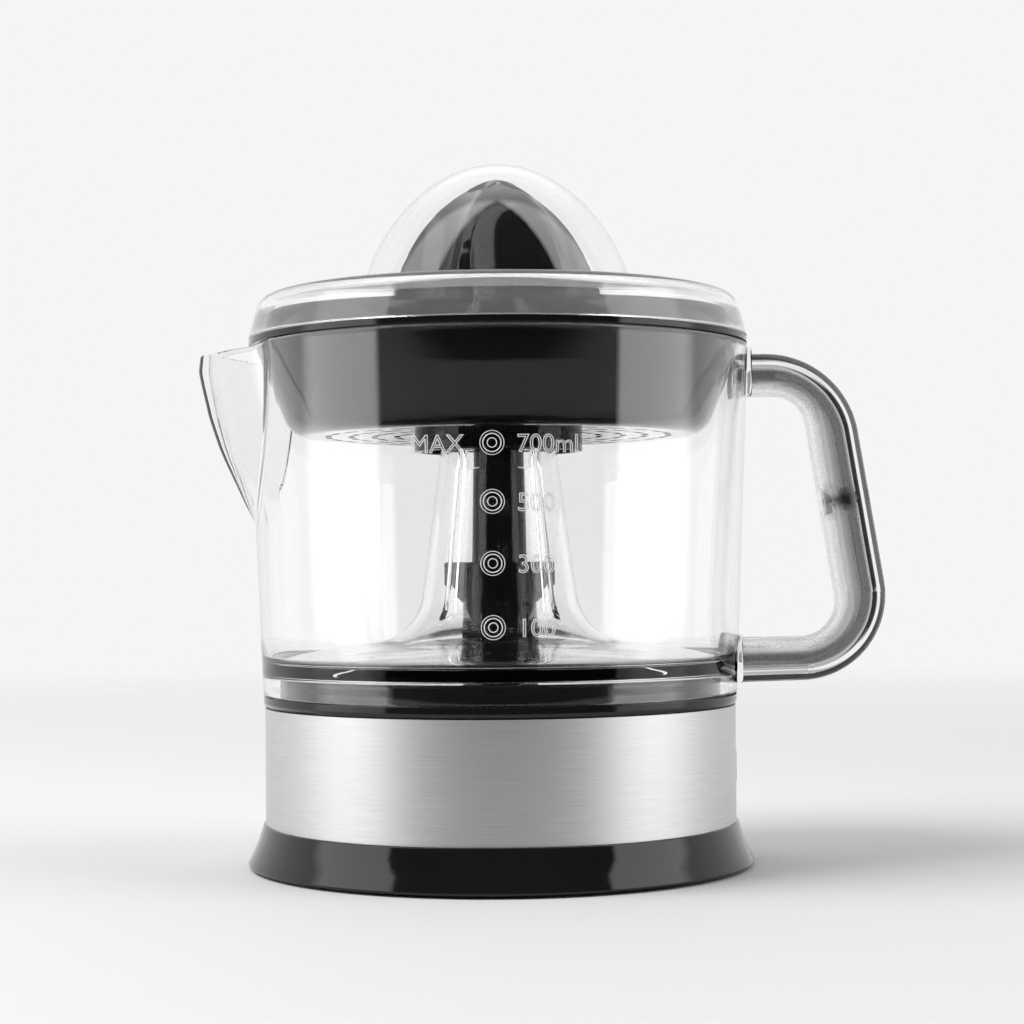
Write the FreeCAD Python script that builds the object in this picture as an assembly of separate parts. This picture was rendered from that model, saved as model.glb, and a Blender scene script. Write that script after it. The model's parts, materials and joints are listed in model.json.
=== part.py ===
import FreeCAD, Part
import math
import os
from FreeCAD import Vector

# Electric citrus press: a round motor base with a steel band, a clear jug that drops over
# the base's drive tower, a black strainer on the jug's rim, a ribbed reamer cone that the
# tower's shaft turns, and a clear domed lid.
# Millimetres. The origin is on the drive axis, on the surface that the press stands on.
# +Z is up, +X points along the handle and -X along the spout.

# ---- heights above the worktop ----
FLOOR_GAP = 0.8
BAND_BOTTOM = 12.4
BAND_TOP = 45.1
DECK_RING_TOP = 48.4
DECK_TOP = 54.0
TOWER_TOP = 85.4
JUG_BOTTOM = 48.5
JUG_RIM = 146.6
SPOUT_RIM = 145.1
STRAINER_SEAT = 146.7
STRAINER_TOP = 148.6
LID_BOTTOM = 148.9
LID_TOP = 199.1
CONE_BASE = 149.0
CONE_TIP = 195.0

# ---- radii ----
FOOT_R = 71.6
BAND_R = 66.7
DECK_R = 67.1
DECK_DISC_R = 62.5
TOWER_R = 10.0
TOWER_BORE_R = 8.25
JUG_FOOT_R = 67.2
JUG_RIM_R = 71.2
STRAINER_R = 70.9
LID_R = 71.0
CONE_R = 29.7
SPINDLE_R = 2.5
SHAFT_R = 5.0

# ---- walls and play ----
JUG_WALL = 2.4
LID_WALL = 1.8
SPOUT_WALL = 2.0
RUNNING_PLAY = 0.05
FIT_PLAY = 0.02
SCREW_SLOT = 0.5

# ---- gear train, motor to cone ----
PRESSURE_ANGLE = math.radians(25)
ADDENDUM = 0.8
DEDENDUM = 1.1
BACKLASH = 0.14
MOTOR_PINION = {"teeth": 12, "module": 0.6}
FIRST_WHEEL = {"teeth": 52, "module": 0.6}
FIRST_PINION = {"teeth": 12, "module": 0.8}
SECOND_WHEEL = {"teeth": 48, "module": 0.8}
SECOND_PINION = {"teeth": 14, "module": 1.0}
OUTPUT_WHEEL = {"teeth": 42, "module": 1.0}
SECOND_DIRECTION = 180.0
FIRST_DIRECTION = 75.0
ROTOR_DIRECTION = 20.0

# ---- gearbox and motor heights ----
GEAR_PLATE = (28.5, 31.0)
GEAR_COVER = (46.6, 48.6)
FIRST_LAYER = (32.0, 35.0)
SECOND_LAYER = (35.4, 38.4)
OUTPUT_LAYER = (40.3, 45.0)
CORE = (11.0, 23.0)
BRACKET = (7.0, 9.0)
GEARBOX_X = -14.0
GEARBOX_Y = 10.0
GEARBOX_R = 43.0
POST_CIRCLE_R = 39.5
POST_ANGLES = (-5.0, 85.0, 170.0, 270.0)
ROTOR_R = 11.2


# ================= helpers =================

def upright(u, v):
    """A point of a profile drawn in the vertical plane: radius or x, then height."""
    return Vector(u, 0, v)


def level(u, v):
    """A point of an outline drawn on the horizontal plane."""
    return Vector(u, v, 0)


def polar(radius, angle, z=0.0):
    """A point at a radius and an angle in degrees about the drive axis."""
    turn = math.radians(angle)
    return Vector(radius * math.cos(turn), radius * math.sin(turn), z)


def rounded_edges(corners, closed, place=upright):
    """Edges through (u, v) or (u, v, radius) corners, with an arc at each corner's radius."""
    points = [place(corner[0], corner[1]) for corner in corners]
    last = len(points) - 1
    stations = []
    for index, here in enumerate(points):
        radius = corners[index][2] if len(corners[index]) > 2 else 0
        if radius == 0 or (not closed and index in (0, last)):
            stations.append((here, None, here))
            continue
        back = (points[index - 1] - here).normalize()
        ahead = (points[(index + 1) % len(points)] - here).normalize()
        half = back.getAngle(ahead) / 2
        inward = (back + ahead).normalize()
        reach = radius / math.tan(half)
        middle = here + inward * (radius / math.sin(half) - radius)
        stations.append((here + back * reach, middle, here + ahead * reach))
    edges = []
    for index, (start, middle, end) in enumerate(stations):
        if middle is not None:
            edges.append(Part.Arc(start, middle, end).toShape())
        if index == last and not closed:
            break
        following = stations[(index + 1) % len(stations)][0]
        if end.distanceToPoint(following) > 1e-6:
            edges.append(Part.LineSegment(end, following).toShape())
    return edges


def rounded_face(corners, place=upright):
    """Closed face with rounded corners."""
    return Part.Face(Part.Wire(rounded_edges(corners, True, place)))


def offset_path(corners, distance):
    """The open path moved to its left by a distance, with each arc's radius changed to suit."""
    points = [level(corner[0], corner[1]) for corner in corners]
    ways = [(b - a).normalize() for a, b in zip(points, points[1:])]
    normals = [Vector(-way.y, way.x, 0) for way in ways]
    moved = []
    for index, point in enumerate(points):
        before = normals[max(index - 1, 0)]
        after = normals[min(index, len(normals) - 1)]
        shift = (before + after) * (distance / (1 + before.dot(after)))
        radius = corners[index][2] if len(corners[index]) > 2 else 0
        if radius and 0 < index < len(points) - 1:
            turn = ways[index - 1].cross(ways[index]).z
            radius = max(radius - distance * math.copysign(1, turn), 0)
        moved.append((point.x + shift.x, point.y + shift.y, radius))
    return moved


def lathe(corners):
    """Solid of revolution about the drive axis from a closed (radius, height) profile."""
    return rounded_face(corners).revolve(Vector(), Vector(0, 0, 1), 360)


def disc(radius, low, high, x=0.0, y=0.0):
    return Part.makeCylinder(radius, high - low, Vector(x, y, low))


def ring(outer, inner, low, high, x=0.0, y=0.0):
    return disc(outer, low, high, x, y).cut(disc(inner, low - 1, high + 1, x, y))


def block(x_span, y_span, z_span):
    size = [span[1] - span[0] for span in (x_span, y_span, z_span)]
    return Part.makeBox(*size, Vector(x_span[0], y_span[0], z_span[0]))


def turned(shape, angle):
    """A copy turned about the drive axis by an angle in degrees."""
    copy = shape.copy()
    copy.rotate(Vector(), Vector(0, 0, 1), angle)
    return copy


def hexagon(across_flats, low, high):
    corner_r = across_flats / math.sqrt(3)
    corners = [polar(corner_r, 60 * side, low) for side in range(7)]
    return Part.Face(Part.makePolygon(corners)).extrude(Vector(0, 0, high - low))


def joined(first, *others):
    """One solid from overlapping ones, without the seams between them."""
    return first.fuse(list(others)).removeSplitter()


def save(name, *solids):
    """Write one node; identical pieces share a node as separate solids."""
    shape = solids[0] if len(solids) == 1 else Part.makeCompound(list(solids))
    shape.exportStep(f"parts/{name}.step")
    print(f"{name:18s} solids {len(shape.Solids)} valid {shape.isValid()} {shape.Volume:9.0f} mm3")


def gear_wire(spec, facing):
    """Involute outline with one tooth centred on the direction `facing`, in degrees."""
    teeth = spec["teeth"]
    pitch_r = teeth * spec["module"] / 2
    base_r = pitch_r * math.cos(PRESSURE_ANGLE)
    tip_r = pitch_r + ADDENDUM * spec["module"]
    root_r = pitch_r - DEDENDUM * spec["module"]
    flank_start = max(base_r, root_r)
    radii = [flank_start + (tip_r - flank_start) * step / 3 for step in range(4)]
    pitch_half = math.pi / (2 * teeth) - BACKLASH / (4 * pitch_r)
    involute_at_pitch = math.tan(PRESSURE_ANGLE) - PRESSURE_ANGLE

    def half_tooth(radius):
        roll = math.acos(min(1.0, base_r / radius))
        return math.degrees(pitch_half + involute_at_pitch - math.tan(roll) + roll)

    def flank(points):
        curve = Part.BSplineCurve()
        curve.interpolate(points)
        return curve.toShape()

    edges = []
    pitch_angle = 360 / teeth
    root_half = half_tooth(flank_start)
    for tooth in range(teeth):
        middle = facing + pitch_angle * tooth
        rising = [polar(radius, middle - half_tooth(radius)) for radius in radii]
        falling = [polar(radius, middle + half_tooth(radius)) for radius in reversed(radii)]
        root_in = polar(root_r, middle - root_half)
        root_out = polar(root_r, middle + root_half)
        next_root = polar(root_r, middle + pitch_angle - root_half)
        if flank_start > root_r:
            edges.append(Part.LineSegment(root_in, rising[0]).toShape())
        edges.append(flank(rising))
        edges.append(Part.Arc(rising[-1], polar(tip_r, middle), falling[0]).toShape())
        edges.append(flank(falling))
        if flank_start > root_r:
            edges.append(Part.LineSegment(falling[-1], root_out).toShape())
        root_middle = polar(root_r, middle + pitch_angle / 2)
        edges.append(Part.Arc(root_out, root_middle, next_root).toShape())
    return Part.Wire(edges)


def gear(spec, facing, layer, centre):
    """Spur gear blank, without its bore."""
    blank = Part.Face(gear_wire(spec, facing)).extrude(Vector(0, 0, layer[1] - layer[0]))
    blank.translate(Vector(centre.x, centre.y, layer[0]))
    return blank


def centre_distance(first, second):
    return (first["teeth"] + second["teeth"]) * first["module"] / 2


def gap_facing(spec, direction):
    """Facing angle that puts a gap between two teeth in a direction."""
    return direction + 180 / spec["teeth"]


# ---- where the gear train's axes stand ----
SECOND_AXIS = polar(centre_distance(SECOND_PINION, OUTPUT_WHEEL), SECOND_DIRECTION)
FIRST_AXIS = SECOND_AXIS + polar(centre_distance(FIRST_PINION, SECOND_WHEEL), FIRST_DIRECTION)
ROTOR_AXIS = FIRST_AXIS + polar(centre_distance(MOTOR_PINION, FIRST_WHEEL), ROTOR_DIRECTION)
GEARBOX_CENTRE = Vector(GEARBOX_X, GEARBOX_Y, 0)
POSTS = [GEARBOX_CENTRE + polar(POST_CIRCLE_R, angle) for angle in POST_ANGLES]
PIN_R = 1.98
PIN_BORE_R = PIN_R + FIT_PLAY
ROTOR_SHAFT_R = 1.5
MOTOR_BOLTS = [
    ROTOR_AXIS + Vector(side_x, side_y, 0)
    for side_x in (-11.0, 10.8)
    for side_y in (-12.0, 12.0)
]

os.makedirs("parts", exist_ok=True)


# ================= base: shells and trim =================

COVER_SCREW_R = 58.0
COVER_SCREW_ANGLES = (20, 110, 200, 290)
FOOT_PAD_R = 55.0
FOOT_PAD_ANGLES = (65, 155, 245, 335)
GLAND_ANGLE = 6.0
GLAND_HEIGHT = 26.8
GLAND_SIZE = (10.0, 16.0)
CORD_HOLE_R = 3.5


def gland_oval(grow, inner, outer):
    """Upright oval bar through the wall at the cord's inlet, from one radius to another."""
    half = GLAND_SIZE[0] / 2 + grow
    straight = GLAND_SIZE[1] / 2 - GLAND_SIZE[0] / 2
    middle = block((inner, outer), (-half, half), (GLAND_HEIGHT - straight, GLAND_HEIGHT + straight))
    along = Vector(1, 0, 0)
    ends = [
        Part.makeCylinder(half, outer - inner, Vector(inner, 0, GLAND_HEIGHT + side), along)
        for side in (-straight, straight)
    ]
    return turned(joined(middle, *ends), GLAND_ANGLE)


def make_lower_housing():
    """Moulded black shell: the flared foot, hollow underneath, and the wall behind the band."""
    wall_r = 65.9
    inner_r = 63.4
    profile = [
        (inner_r, 1.2), (wall_r, 1.2), (wall_r, 9.0), (66.4, 9.4, 0.2), (69.0, FLOOR_GAP),
        (71.3, FLOOR_GAP, 0.3), (FOOT_R, 1.5), (69.0, 7.0, 25), (67.3, BAND_BOTTOM, 0.4),
        (wall_r, BAND_BOTTOM), (wall_r, 45.0), (inner_r, 45.0),
    ]
    shell = lathe(profile)
    bosses = []
    for angle in COVER_SCREW_ANGLES:
        spot = polar(COVER_SCREW_R, angle)
        bosses.append(disc(4.0, 4.5, 20.0, spot.x, spot.y))
        bosses.append(turned(block((COVER_SCREW_R, 64.5), (-1.2, 1.2), (4.5, 20.0)), angle))
    shell = joined(shell, *bosses)
    for angle in COVER_SCREW_ANGLES:
        spot = polar(COVER_SCREW_R, angle)
        shell = shell.cut(disc(1.3, 4.0, 16.0, spot.x, spot.y))
    return shell.cut(gland_oval(0.1, 60, 70))


def make_steel_band():
    band = ring(BAND_R, 65.95, BAND_BOTTOM + 0.05, BAND_TOP - 0.05)
    return band.cut(gland_oval(0.1, 60, 70))


def make_cord_gland():
    """Rubber inlet: an oval plug through the wall with a lip each side and the cord's hole."""
    plug = gland_oval(0.0, 61.0, 67.2)
    lip = gland_oval(1.4, 60.6, 62.6)
    body = joined(plug, lip)
    bore = Part.makeCylinder(CORD_HOLE_R, 20, Vector(55, 0, GLAND_HEIGHT), Vector(1, 0, 0))
    return body.cut(turned(bore, GLAND_ANGLE))


def make_bottom_cover():
    plate = disc(63.1, 1.6, 4.0)
    for angle in COVER_SCREW_ANGLES:
        spot = polar(COVER_SCREW_R, angle)
        plate = plate.cut(disc(1.7, 1, 5, spot.x, spot.y)).cut(disc(3.2, 1, 2.8, spot.x, spot.y))
    for angle in FOOT_PAD_ANGLES:
        spot = polar(FOOT_PAD_R, angle)
        plate = plate.cut(disc(6.05, 1, 2.6, spot.x, spot.y))
    vents = [
        block((x - 1.0, x + 1.0), (ROTOR_AXIS.y - 10, ROTOR_AXIS.y + 10), (1, 5))
        for x in (-15.0, -9.0, -3.0, 3.0, 9.0)
    ]
    return plate.cut(vents)


def make_upper_housing():
    """Moulded black deck with its rolled rim, the drive tower and its four centring wings."""
    profile = [
        (TOWER_BORE_R, TOWER_TOP), (TOWER_R, TOWER_TOP, 0.4), (10.9, 63.0, 20),
        (11.4, DECK_TOP, 2.5), (DECK_DISC_R, DECK_TOP, 1.2), (DECK_DISC_R, DECK_RING_TOP),
        (DECK_R, DECK_RING_TOP, 0.4), (DECK_R, BAND_TOP, 1.4), (63.2, BAND_TOP), (63.2, 41.0),
        (60.6, 41.0), (60.6, 51.5), (TOWER_BORE_R, 51.5),
    ]
    deck = lathe(profile)
    wing_side = rounded_face([(9.6, TOWER_TOP), (15.8, TOWER_TOP, 0.6), (15.8, 79.0), (10.0, 73.0)])
    wing = wing_side.extrude(Vector(0, 2.0, 0))
    wing.translate(Vector(0, -1.0, 0))
    wings = [turned(wing, 90 * quarter) for quarter in range(4)]
    bosses = [disc(3.5, GEAR_COVER[1] + 0.1, 51.8, post.x, post.y) for post in POSTS]
    deck = joined(deck, *wings, *bosses)
    pilots = [disc(1.3, 48, 51.0, post.x, post.y) for post in POSTS]
    return deck.cut(pilots)


def make_screw(shank_r, head_r, head_low, head_high, tip, x, y):
    """Cross-head screw whose shank points up from its head."""
    body = joined(disc(head_r, head_low, head_high, x, y), disc(shank_r, head_high - 0.1, tip, x, y))
    reach = 0.6 * head_r
    half = SCREW_SLOT / 2
    depth = (head_low - 1, head_low + 0.45 * (head_high - head_low))
    slots = [
        block((x - reach, x + reach), (y - half, y + half), depth),
        block((x - half, x + half), (y - reach, y + reach), depth),
    ]
    return body.cut(slots)


save("lower_housing", make_lower_housing())
save("steel_band", make_steel_band())
save("cord_gland", make_cord_gland())
save("bottom_cover", make_bottom_cover())
save("upper_housing", make_upper_housing())
cover_screw_spots = [polar(COVER_SCREW_R, angle) for angle in COVER_SCREW_ANGLES]
save("cover_screws", *[make_screw(1.25, 3.0, 1.8, 2.75, 14, s.x, s.y) for s in cover_screw_spots])
foot_spots = [polar(FOOT_PAD_R, angle) for angle in FOOT_PAD_ANGLES]
save("rubber_feet", *[disc(6.0, 0.0, 2.55, spot.x, spot.y) for spot in foot_spots])
save("deck_bush", joined(ring(8.2, SHAFT_R + RUNNING_PLAY, 49.4, 57.0), ring(10.5, 8.0, 49.4, 51.4)))
save("tower_bush", ring(8.2, SHAFT_R + RUNNING_PLAY, 70.0, 79.8))
save("shaft_seal", ring(8.2, SHAFT_R + RUNNING_PLAY, 79.9, 81.1))


# ================= motor and gearbox, fixed pieces =================

LEG_GAP = 5.0
LEG_WIDTH = 8.0
COIL_SPAN = (12.8, 31.2)
YOKE_SPAN = (33.0, 41.0)
PLUNGER_R = 3.0
CUP_FLOOR = (20.5, 22.5)
CUP_BORE_R = 6.9
SWITCH_X = (2.0, 22.0)
SWITCH_Y = (-3.2, 3.2)
SWITCH_Z = (5.4, 14.6)
SWITCH_PIN_X = (5.0, 18.0)
SWITCH_PIN_Z = 8.0
LEVER_PIVOT = Vector(20.5, 0, 16.2)
BUTTON_X = 14.0
FIRST_PINION_TOP = 38.8


def leg_middle(side):
    """Height of a core leg's centre line across the motor, on the +1 or -1 side."""
    return ROTOR_AXIS.y + side * (LEG_GAP + LEG_WIDTH / 2)


def make_stator_core():
    """U-shaped lamination stack: two legs for the coils and pole shoes round the rotor."""
    half = LEG_GAP + LEG_WIDTH
    middle_y = ROTOR_AXIS.y
    shoe_x = (ROTOR_AXIS.x - 15, ROTOR_AXIS.x + 13.3)
    shoes = block(shoe_x, (middle_y - 16, middle_y + 16), CORE)
    legs = block((shoe_x[1] - 1, YOKE_SPAN[1]), (middle_y - half, middle_y + half), CORE)
    slot = block((shoe_x[0] - 1, YOKE_SPAN[0]), (middle_y - LEG_GAP, middle_y + LEG_GAP), (0, 40))
    core = joined(shoes, legs).cut(slot)
    core = core.cut(disc(ROTOR_R + 0.8, 0, 40, ROTOR_AXIS.x, middle_y))
    return core.cut([disc(1.7, 0, 40, bolt.x, bolt.y) for bolt in MOTOR_BOLTS])


def make_bobbin(side):
    """Moulded spool on one core leg."""
    y = leg_middle(side)
    z = sum(CORE) / 2

    def box(grow, span):
        half_y = LEG_WIDTH / 2 + grow
        half_z = (CORE[1] - CORE[0]) / 2 + grow
        return block(span, (y - half_y, y + half_y), (z - half_z, z + half_z))

    tube = box(1.0, COIL_SPAN)
    near = box(4.2, (COIL_SPAN[0], COIL_SPAN[0] + 1.0))
    far = box(4.2, (COIL_SPAN[1] - 1.0, COIL_SPAN[1]))
    return joined(tube, near, far).cut(box(0.1, (0, 40)))


def make_winding(side):
    """Copper wound on one spool, its corners rounded by the wire's own stiffness."""
    y = leg_middle(side)
    z = sum(CORE) / 2
    span = (COIL_SPAN[0] + 1.1, COIL_SPAN[1] - 1.1)
    inner = (LEG_WIDTH / 2 + 1.05, (CORE[1] - CORE[0]) / 2 + 1.05)
    outer = (inner[0] + 2.6, inner[1] + 2.6)
    coil = block(span, (y - outer[0], y + outer[0]), (z - outer[1], z + outer[1]))
    long_edges = [edge for edge in coil.Edges if edge.Length > span[1] - span[0] - 0.01
                  and abs(edge.tangentAt(edge.FirstParameter).x) > 0.9]
    coil = coil.makeFillet(2.4, long_edges)
    return coil.cut(block((0, 50), (y - inner[0], y + inner[0]), (z - inner[1], z + inner[1])))


def make_motor_bracket():
    """Steel plate under the rotor, clamped to the core by the long motor screws."""
    x = ROTOR_AXIS.x
    y = ROTOR_AXIS.y
    corners = [(x - 15, y - 16, 3), (x + 14, y - 16, 3), (x + 14, y + 16, 3), (x - 15, y + 16, 3)]
    plate = rounded_face(corners, level).extrude(Vector(0, 0, BRACKET[1] - BRACKET[0]))
    plate.translate(Vector(0, 0, BRACKET[0]))
    spacers = [disc(3.0, BRACKET[1] - 0.5, CORE[0] - 0.02, bolt.x, bolt.y) for bolt in MOTOR_BOLTS]
    plate = joined(plate, *spacers).cut(disc(3.0, 0, 40, x, y))
    return plate.cut([disc(1.7, 0, 40, bolt.x, bolt.y) for bolt in MOTOR_BOLTS])


def make_gearbox_base():
    """Plate that carries the gears: posts, motor bosses, pin bosses and the spring's cup."""
    low, high = GEAR_PLATE
    plate = disc(GEARBOX_R, low, high, GEARBOX_X, GEARBOX_Y)
    posts = [disc(3.0, high - 1, GEAR_COVER[0] - 0.02, post.x, post.y) for post in POSTS]
    bosses = [disc(3.4, CORE[1] + 0.02, low + 1, bolt.x, bolt.y) for bolt in MOTOR_BOLTS]
    cup = disc(CUP_BORE_R + 1.6, CUP_FLOOR[0], low + 1)
    first_boss = disc(3.2, high - 1, FIRST_LAYER[0] - 0.15, FIRST_AXIS.x, FIRST_AXIS.y)
    second_boss = disc(3.2, high - 1, SECOND_LAYER[0] - 0.15, SECOND_AXIS.x, SECOND_AXIS.y)
    body = joined(plate, cup, first_boss, second_boss, *posts, *bosses)
    holes = [
        disc(CUP_BORE_R, CUP_FLOOR[1], high + 1),
        disc(PLUNGER_R + RUNNING_PLAY, CUP_FLOOR[0] - 1, high),
        disc(3.0, low - 1, high + 1, ROTOR_AXIS.x, ROTOR_AXIS.y),
        disc(PIN_BORE_R, low + 0.5, 40, FIRST_AXIS.x, FIRST_AXIS.y),
        disc(PIN_BORE_R, low + 0.5, 40, SECOND_AXIS.x, SECOND_AXIS.y),
    ]
    holes += [disc(1.65, low - 1, 50, post.x, post.y) for post in POSTS]
    holes += [disc(1.3, CORE[1] - 1, high - 0.8, bolt.x, bolt.y) for bolt in MOTOR_BOLTS]
    return body.cut(holes)


def make_gearbox_cover():
    low, high = GEAR_COVER
    plate = disc(GEARBOX_R, low, high, GEARBOX_X, GEARBOX_Y)
    first_boss = disc(3.2, FIRST_PINION_TOP + 0.4, low + 1, FIRST_AXIS.x, FIRST_AXIS.y)
    holes = [disc(7.6, low - 1, high + 1)]
    for axis in (FIRST_AXIS, SECOND_AXIS):
        holes.append(disc(PIN_BORE_R, 30, high - 0.5, axis.x, axis.y))
    holes += [disc(1.65, low - 1, high + 1, post.x, post.y) for post in POSTS]
    return joined(plate, first_boss).cut(holes)


def make_micro_switch():
    """Snap switch case with its two mounting holes."""
    case = block(SWITCH_X, SWITCH_Y, SWITCH_Z)
    case = case.makeFillet(0.6, [edge for edge in case.Edges if abs(edge.tangentAt(0).y) > 0.9])
    for x in SWITCH_PIN_X:
        case = case.cut(Part.makeCylinder(1.1, 10, Vector(x, -5, SWITCH_PIN_Z), Vector(0, 1, 0)))
    return case.cut(disc(1.05, 11, 20, BUTTON_X, 0))


def make_switch_holder():
    """Bracket from the gear plate down behind the switch, with the lever's pivot lug."""
    back = block((1.0, 21.8), (SWITCH_Y[1] + 0.1, SWITCH_Y[1] + 2.1), (5.4, GEAR_PLATE[0]))
    back = back.cut(disc(CUP_BORE_R + 1.8, 18.6, 40))
    for x in SWITCH_PIN_X:
        back = back.cut(Part.makeCylinder(1.1, 10, Vector(x, 0, SWITCH_PIN_Z), Vector(0, 1, 0)))
    pivot = Part.makeCylinder(0.6, 6.0, LEVER_PIVOT + Vector(0, -2.0, 0), Vector(0, 1, 0))
    return joined(back, pivot)


save("stator_core", make_stator_core())
save("coil_bobbins", make_bobbin(-1), make_bobbin(1))
save("coil_windings", make_winding(-1), make_winding(1))
save("motor_bracket", make_motor_bracket())
save("motor_screws", *[make_screw(1.28, 2.8, 5.0, 6.98, 29.5, b.x, b.y) for b in MOTOR_BOLTS])
save("rotor_bushes", *[
    ring(2.98, ROTOR_SHAFT_R + RUNNING_PLAY, low, high, ROTOR_AXIS.x, ROTOR_AXIS.y)
    for low, high in ((BRACKET[0] - 0.3, BRACKET[1] + 0.6), (GEAR_PLATE[0] - 0.3, GEAR_PLATE[1] + 0.3))
])
save("gearbox_base", make_gearbox_base())
save("gearbox_cover", make_gearbox_cover())
save("gearbox_screws", *[make_screw(1.28, 2.75, 26.3, 28.48, 50.8, p.x, p.y) for p in POSTS])
save("idler_pins", *[disc(PIN_R, 29.1, 48.0, axis.x, axis.y) for axis in (FIRST_AXIS, SECOND_AXIS)])
save("micro_switch", make_micro_switch())
save("switch_holder", make_switch_holder())
save("switch_pins", *[
    Part.makeCylinder(1.05, 8.4, Vector(x, -3.1, SWITCH_PIN_Z), Vector(0, 1, 0)) for x in SWITCH_PIN_X
])
save("switch_terminals", *[
    block((SWITCH_X[1] + 0.02, SWITCH_X[1] + 6.0), (-1.6, 1.6), (z, z + 0.5)) for z in (6.6, 9.6, 12.6)
])


# ================= moving pieces of the drive =================

SPINDLE_SPAN = (37.0, 131.0)
HUB_BOTTOM = 37.0
HUB_TOP = 46.3
SHAFT_BOTTOM = 41.1
COLUMN_BOTTOM = 83.0
COLUMN_TOP = 112.0
HEX_TOP = 140.0
HEX_FLATS = 9.6
PLUNGER_TIP = 17.1
FLANGE = (34.9, 36.9)
FLANGE_R = 6.4
SPRING_WIRE_R = 0.4
SPRING_MEAN_R = 4.6
SPRING_COILS = 5
SPRING_STEPS = 16
SPRING_SIDES = 8
LEVER_THICK = 0.5
LEVER_TOP = 16.75


def make_second_gear():
    facing = SECOND_DIRECTION + 180
    pinion = gear(SECOND_PINION, facing, (SECOND_LAYER[1] - 0.5, 46.2), SECOND_AXIS)
    wheel = gear(SECOND_WHEEL, FIRST_DIRECTION, SECOND_LAYER, SECOND_AXIS)
    body = joined(wheel, pinion)
    return body.cut(disc(PIN_R + RUNNING_PLAY, 30, 50, SECOND_AXIS.x, SECOND_AXIS.y))


def make_first_gear():
    pinion_facing = gap_facing(FIRST_PINION, FIRST_DIRECTION + 180)
    pinion = gear(FIRST_PINION, pinion_facing, (FIRST_LAYER[1] - 0.5, FIRST_PINION_TOP), FIRST_AXIS)
    wheel = gear(FIRST_WHEEL, ROTOR_DIRECTION, FIRST_LAYER, FIRST_AXIS)
    body = joined(wheel, pinion)
    return body.cut(disc(PIN_R + RUNNING_PLAY, 30, 50, FIRST_AXIS.x, FIRST_AXIS.y))


def make_motor_pinion():
    facing = gap_facing(MOTOR_PINION, ROTOR_DIRECTION + 180)
    pinion = gear(MOTOR_PINION, facing, (FIRST_LAYER[0] - 0.2, FIRST_LAYER[1] + 0.2), ROTOR_AXIS)
    return pinion.cut(disc(ROTOR_SHAFT_R + FIT_PLAY, 30, 40, ROTOR_AXIS.x, ROTOR_AXIS.y))


def make_output_gear():
    facing = gap_facing(OUTPUT_WHEEL, SECOND_DIRECTION)
    wheel = gear(OUTPUT_WHEEL, facing, OUTPUT_LAYER, Vector())
    body = joined(wheel, disc(7.0, HUB_BOTTOM, HUB_TOP))
    recess = ring(17.5, 9.0, OUTPUT_LAYER[1] - 1.2, OUTPUT_LAYER[1] + 1)
    body = body.cut(disc(SHAFT_R + FIT_PLAY, SHAFT_BOTTOM - 0.1, HUB_TOP + 1)).cut(recess)
    return body.cut(disc(SPINDLE_R + FIT_PLAY, HUB_BOTTOM - 1, HUB_TOP))


def make_drive_shaft():
    """Plastic shaft: a round lower end, a tapered column and a hexagonal drive head."""
    column = lathe([
        (0, SHAFT_BOTTOM), (SHAFT_R, SHAFT_BOTTOM), (SHAFT_R, COLUMN_BOTTOM),
        (7.9, COLUMN_BOTTOM, 0.3), (7.35, COLUMN_TOP, 0.3), (0, COLUMN_TOP),
    ])
    head = hexagon(HEX_FLATS, COLUMN_TOP - 1, HEX_TOP)
    nose = lathe([
        (0, COLUMN_TOP - 2), (6.5, COLUMN_TOP - 2), (6.5, HEX_TOP - 4), (4.0, HEX_TOP), (0, HEX_TOP),
    ])
    shaft = joined(column, head.common(nose))
    return shaft.cut(disc(SPINDLE_R + FIT_PLAY, 30, SPINDLE_SPAN[1] + 0.1))


def make_press_plunger():
    """Pin with a flange that carries the output gear; its tip is rounded."""
    pin = joined(disc(PLUNGER_R, PLUNGER_TIP, FLANGE[1] - 0.5), disc(FLANGE_R, *FLANGE))
    tip = [edge for edge in pin.Edges if abs(edge.BoundBox.ZMax - PLUNGER_TIP) < 0.01]
    return pin.makeFillet(0.4, tip)


def make_return_spring():
    """Compression spring between the cup's floor and the flange, its round wire in flat facets."""
    low = CUP_FLOOR[1] + SPRING_WIRE_R + 0.1
    height = FLANGE[0] - SPRING_WIRE_R - 0.1 - low
    sector = math.pi / SPRING_SIDES
    wire_r = SPRING_WIRE_R * math.sqrt(sector / math.sin(sector) / math.cos(sector))
    steps = SPRING_COILS * SPRING_STEPS
    rings = []
    for step in range(steps + 1):
        turn = 360 * step / SPRING_STEPS
        rise = low + height * step / steps
        tilts = [2 * sector * side for side in range(SPRING_SIDES)]
        rings.append([
            polar(SPRING_MEAN_R + wire_r * math.cos(tilt), turn, rise + wire_r * math.sin(tilt))
            for tilt in tilts
        ])
    outlines = [rings[0], rings[-1]]
    for first, second in zip(rings, rings[1:]):
        for side in range(SPRING_SIDES):
            after = (side + 1) % SPRING_SIDES
            outlines.append([first[side], first[after], second[after]])
            outlines.append([first[side], second[after], second[side]])
    faces = [Part.Face(Part.makePolygon(outline + outline[:1])) for outline in outlines]
    return Part.Solid(Part.Shell(faces))


def make_switch_lever():
    """Thin steel leaf, rolled round its pivot at one end."""
    eye = Part.makeCylinder(1.1, 3.0, LEVER_PIVOT + Vector(0, -1.5, 0), Vector(0, 1, 0))
    leaf = block((-2.0, LEVER_PIVOT.x), (-1.5, 1.5), (LEVER_TOP - LEVER_THICK, LEVER_TOP))
    bore = Part.makeCylinder(0.65, 8.0, LEVER_PIVOT + Vector(0, -4, 0), Vector(0, 1, 0))
    return joined(leaf, eye).cut(bore)


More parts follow.
